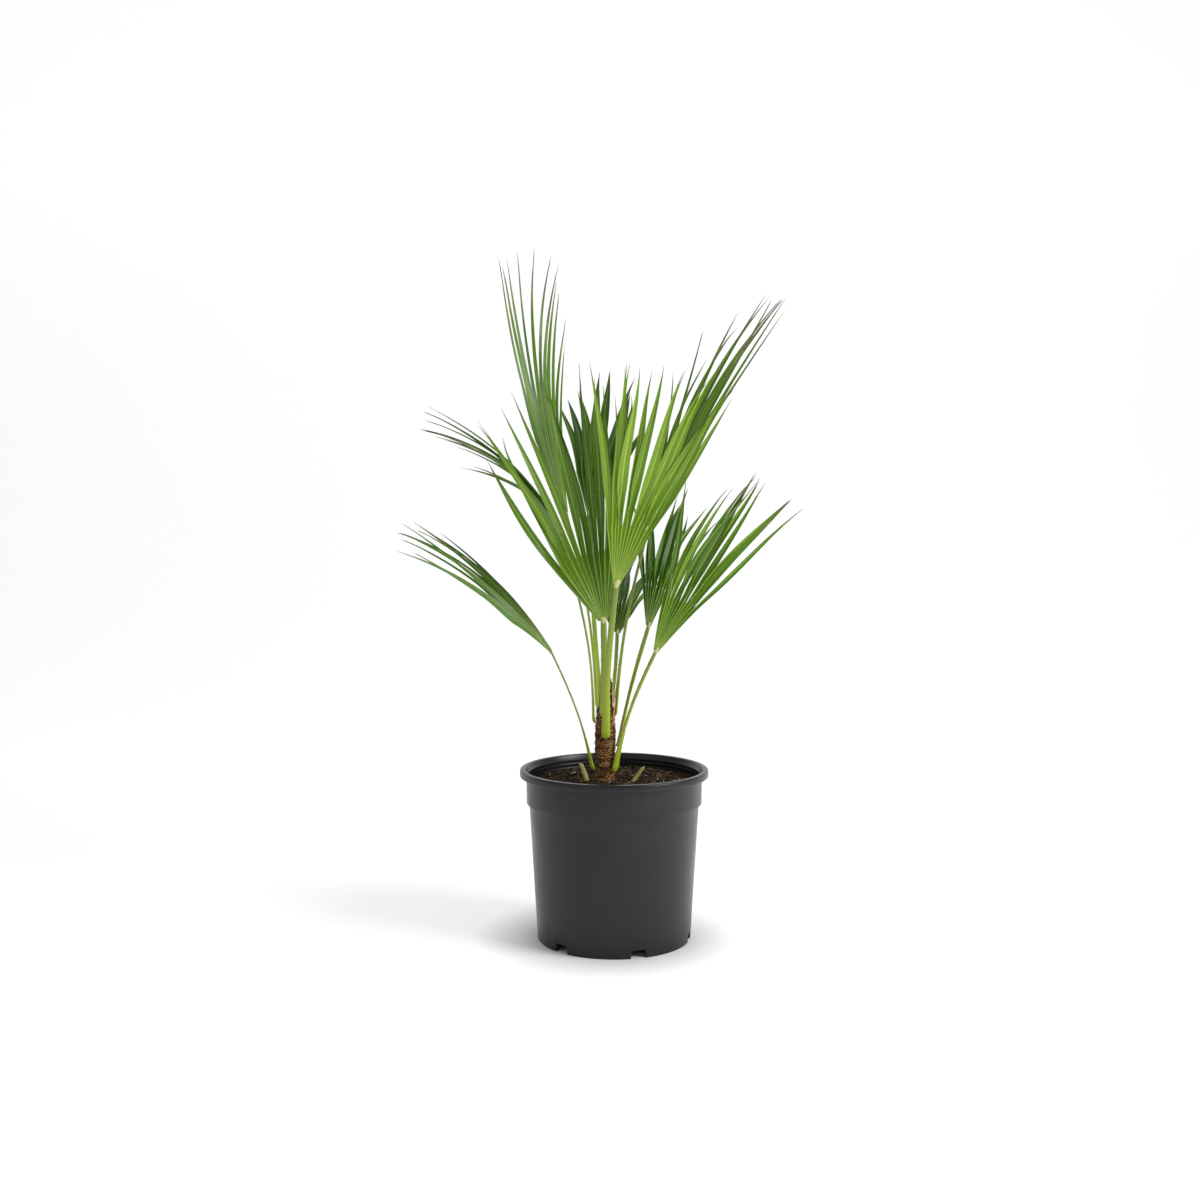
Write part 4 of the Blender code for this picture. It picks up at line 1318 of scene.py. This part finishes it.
class PALM_OT_pot(bpy.types.Operator):
    """Turned nursery pot with a rolled rim, a stepped collar and a notched foot"""
    bl_idname = "fan_palm.pot"
    bl_label = "Pot"

    def execute(self, context):
        build_pot(context.scene.palm_pot)
        return {"FINISHED"}


class PALM_OT_soil(bpy.types.Operator):
    """Potting mix with bark chips, white grains and fibres"""
    bl_idname = "fan_palm.soil"
    bl_label = "Soil"

    def execute(self, context):
        build_soil(context.scene.palm_soil, context.scene.palm_pot)
        build_soil_bits(context.scene.palm_soil)
        return {"FINISHED"}


class PALM_OT_trunk(bpy.types.Operator):
    """Fibrous trunk with sheath scraps"""
    bl_idname = "fan_palm.trunk"
    bl_label = "Trunk"

    def execute(self, context):
        build_trunk(context.scene.palm_trunk)
        return {"FINISHED"}


class PALM_OT_stubs(bpy.types.Operator):
    """Cut stubs of old petioles"""
    bl_idname = "fan_palm.stubs"
    bl_label = "Stubs"

    def execute(self, context):
        build_stubs(context.scene.palm_trunk)
        return {"FINISHED"}


class PALM_OT_stalks(bpy.types.Operator):
    """Petioles with marginal spines and a crest at the hub"""
    bl_idname = "fan_palm.stalks"
    bl_label = "Petioles"

    def execute(self, context):
        build_stalks(context.scene.palm_stalk)
        return {"FINISHED"}


class PALM_OT_fans(bpy.types.Operator):
    """Folded leaflets of every fan"""
    bl_idname = "fan_palm.fans"
    bl_label = "Fans"

    def execute(self, context):
        build_fans(context.scene.palm_leaf)
        return {"FINISHED"}


class PALM_OT_stage(bpy.types.Operator):
    """Floor, lights and camera"""
    bl_idname = "fan_palm.stage"
    bl_label = "Stage"

    def execute(self, context):
        build_stage(context.scene.palm_stage)
        return {"FINISHED"}


OPERATORS = (
    PALM_OT_pot, PALM_OT_soil, PALM_OT_trunk, PALM_OT_stubs, PALM_OT_stalks, PALM_OT_fans, PALM_OT_stage)
SETTINGS = {
    "palm_pot": PotSettings,
    "palm_soil": SoilSettings,
    "palm_trunk": TrunkSettings,
    "palm_stalk": StalkSettings,
    "palm_leaf": LeafSettings,
    "palm_stage": StageSettings,
}


class PALM_PT_pieces(bpy.types.Panel):
    """Lists the palm's pieces and their settings"""
    bl_idname = "PALM_PT_pieces"
    bl_label = "Fan palm"
    bl_space_type = "VIEW_3D"
    bl_region_type = "UI"
    bl_category = "Fan palm"

    def draw(self, context):
        for operator in OPERATORS:
            self.layout.operator(operator.bl_idname)
        for key, group in SETTINGS.items():
            box = self.layout.box()
            for name in group.__annotations__:
                box.prop(getattr(context.scene, key), name)


def register():
    for group in SETTINGS.values():
        bpy.utils.register_class(group)
    for key, group in SETTINGS.items():
        setattr(bpy.types.Scene, key, PointerProperty(type=group))
    for item in (*OPERATORS, PALM_PT_pieces):
        bpy.utils.register_class(item)


def unregister():
    for item in reversed((*OPERATORS, PALM_PT_pieces)):
        bpy.utils.unregister_class(item)
    for key in SETTINGS:
        delattr(bpy.types.Scene, key)
    for group in reversed(tuple(SETTINGS.values())):
        bpy.utils.unregister_class(group)


def main():
    register()
    bpy.ops.fan_palm.pot()
    bpy.ops.fan_palm.soil()
    bpy.ops.fan_palm.trunk()
    bpy.ops.fan_palm.stubs()
    bpy.ops.fan_palm.stalks()
    bpy.ops.fan_palm.fans()
    bpy.ops.fan_palm.stage()


if __name__ == "__main__":
    main()
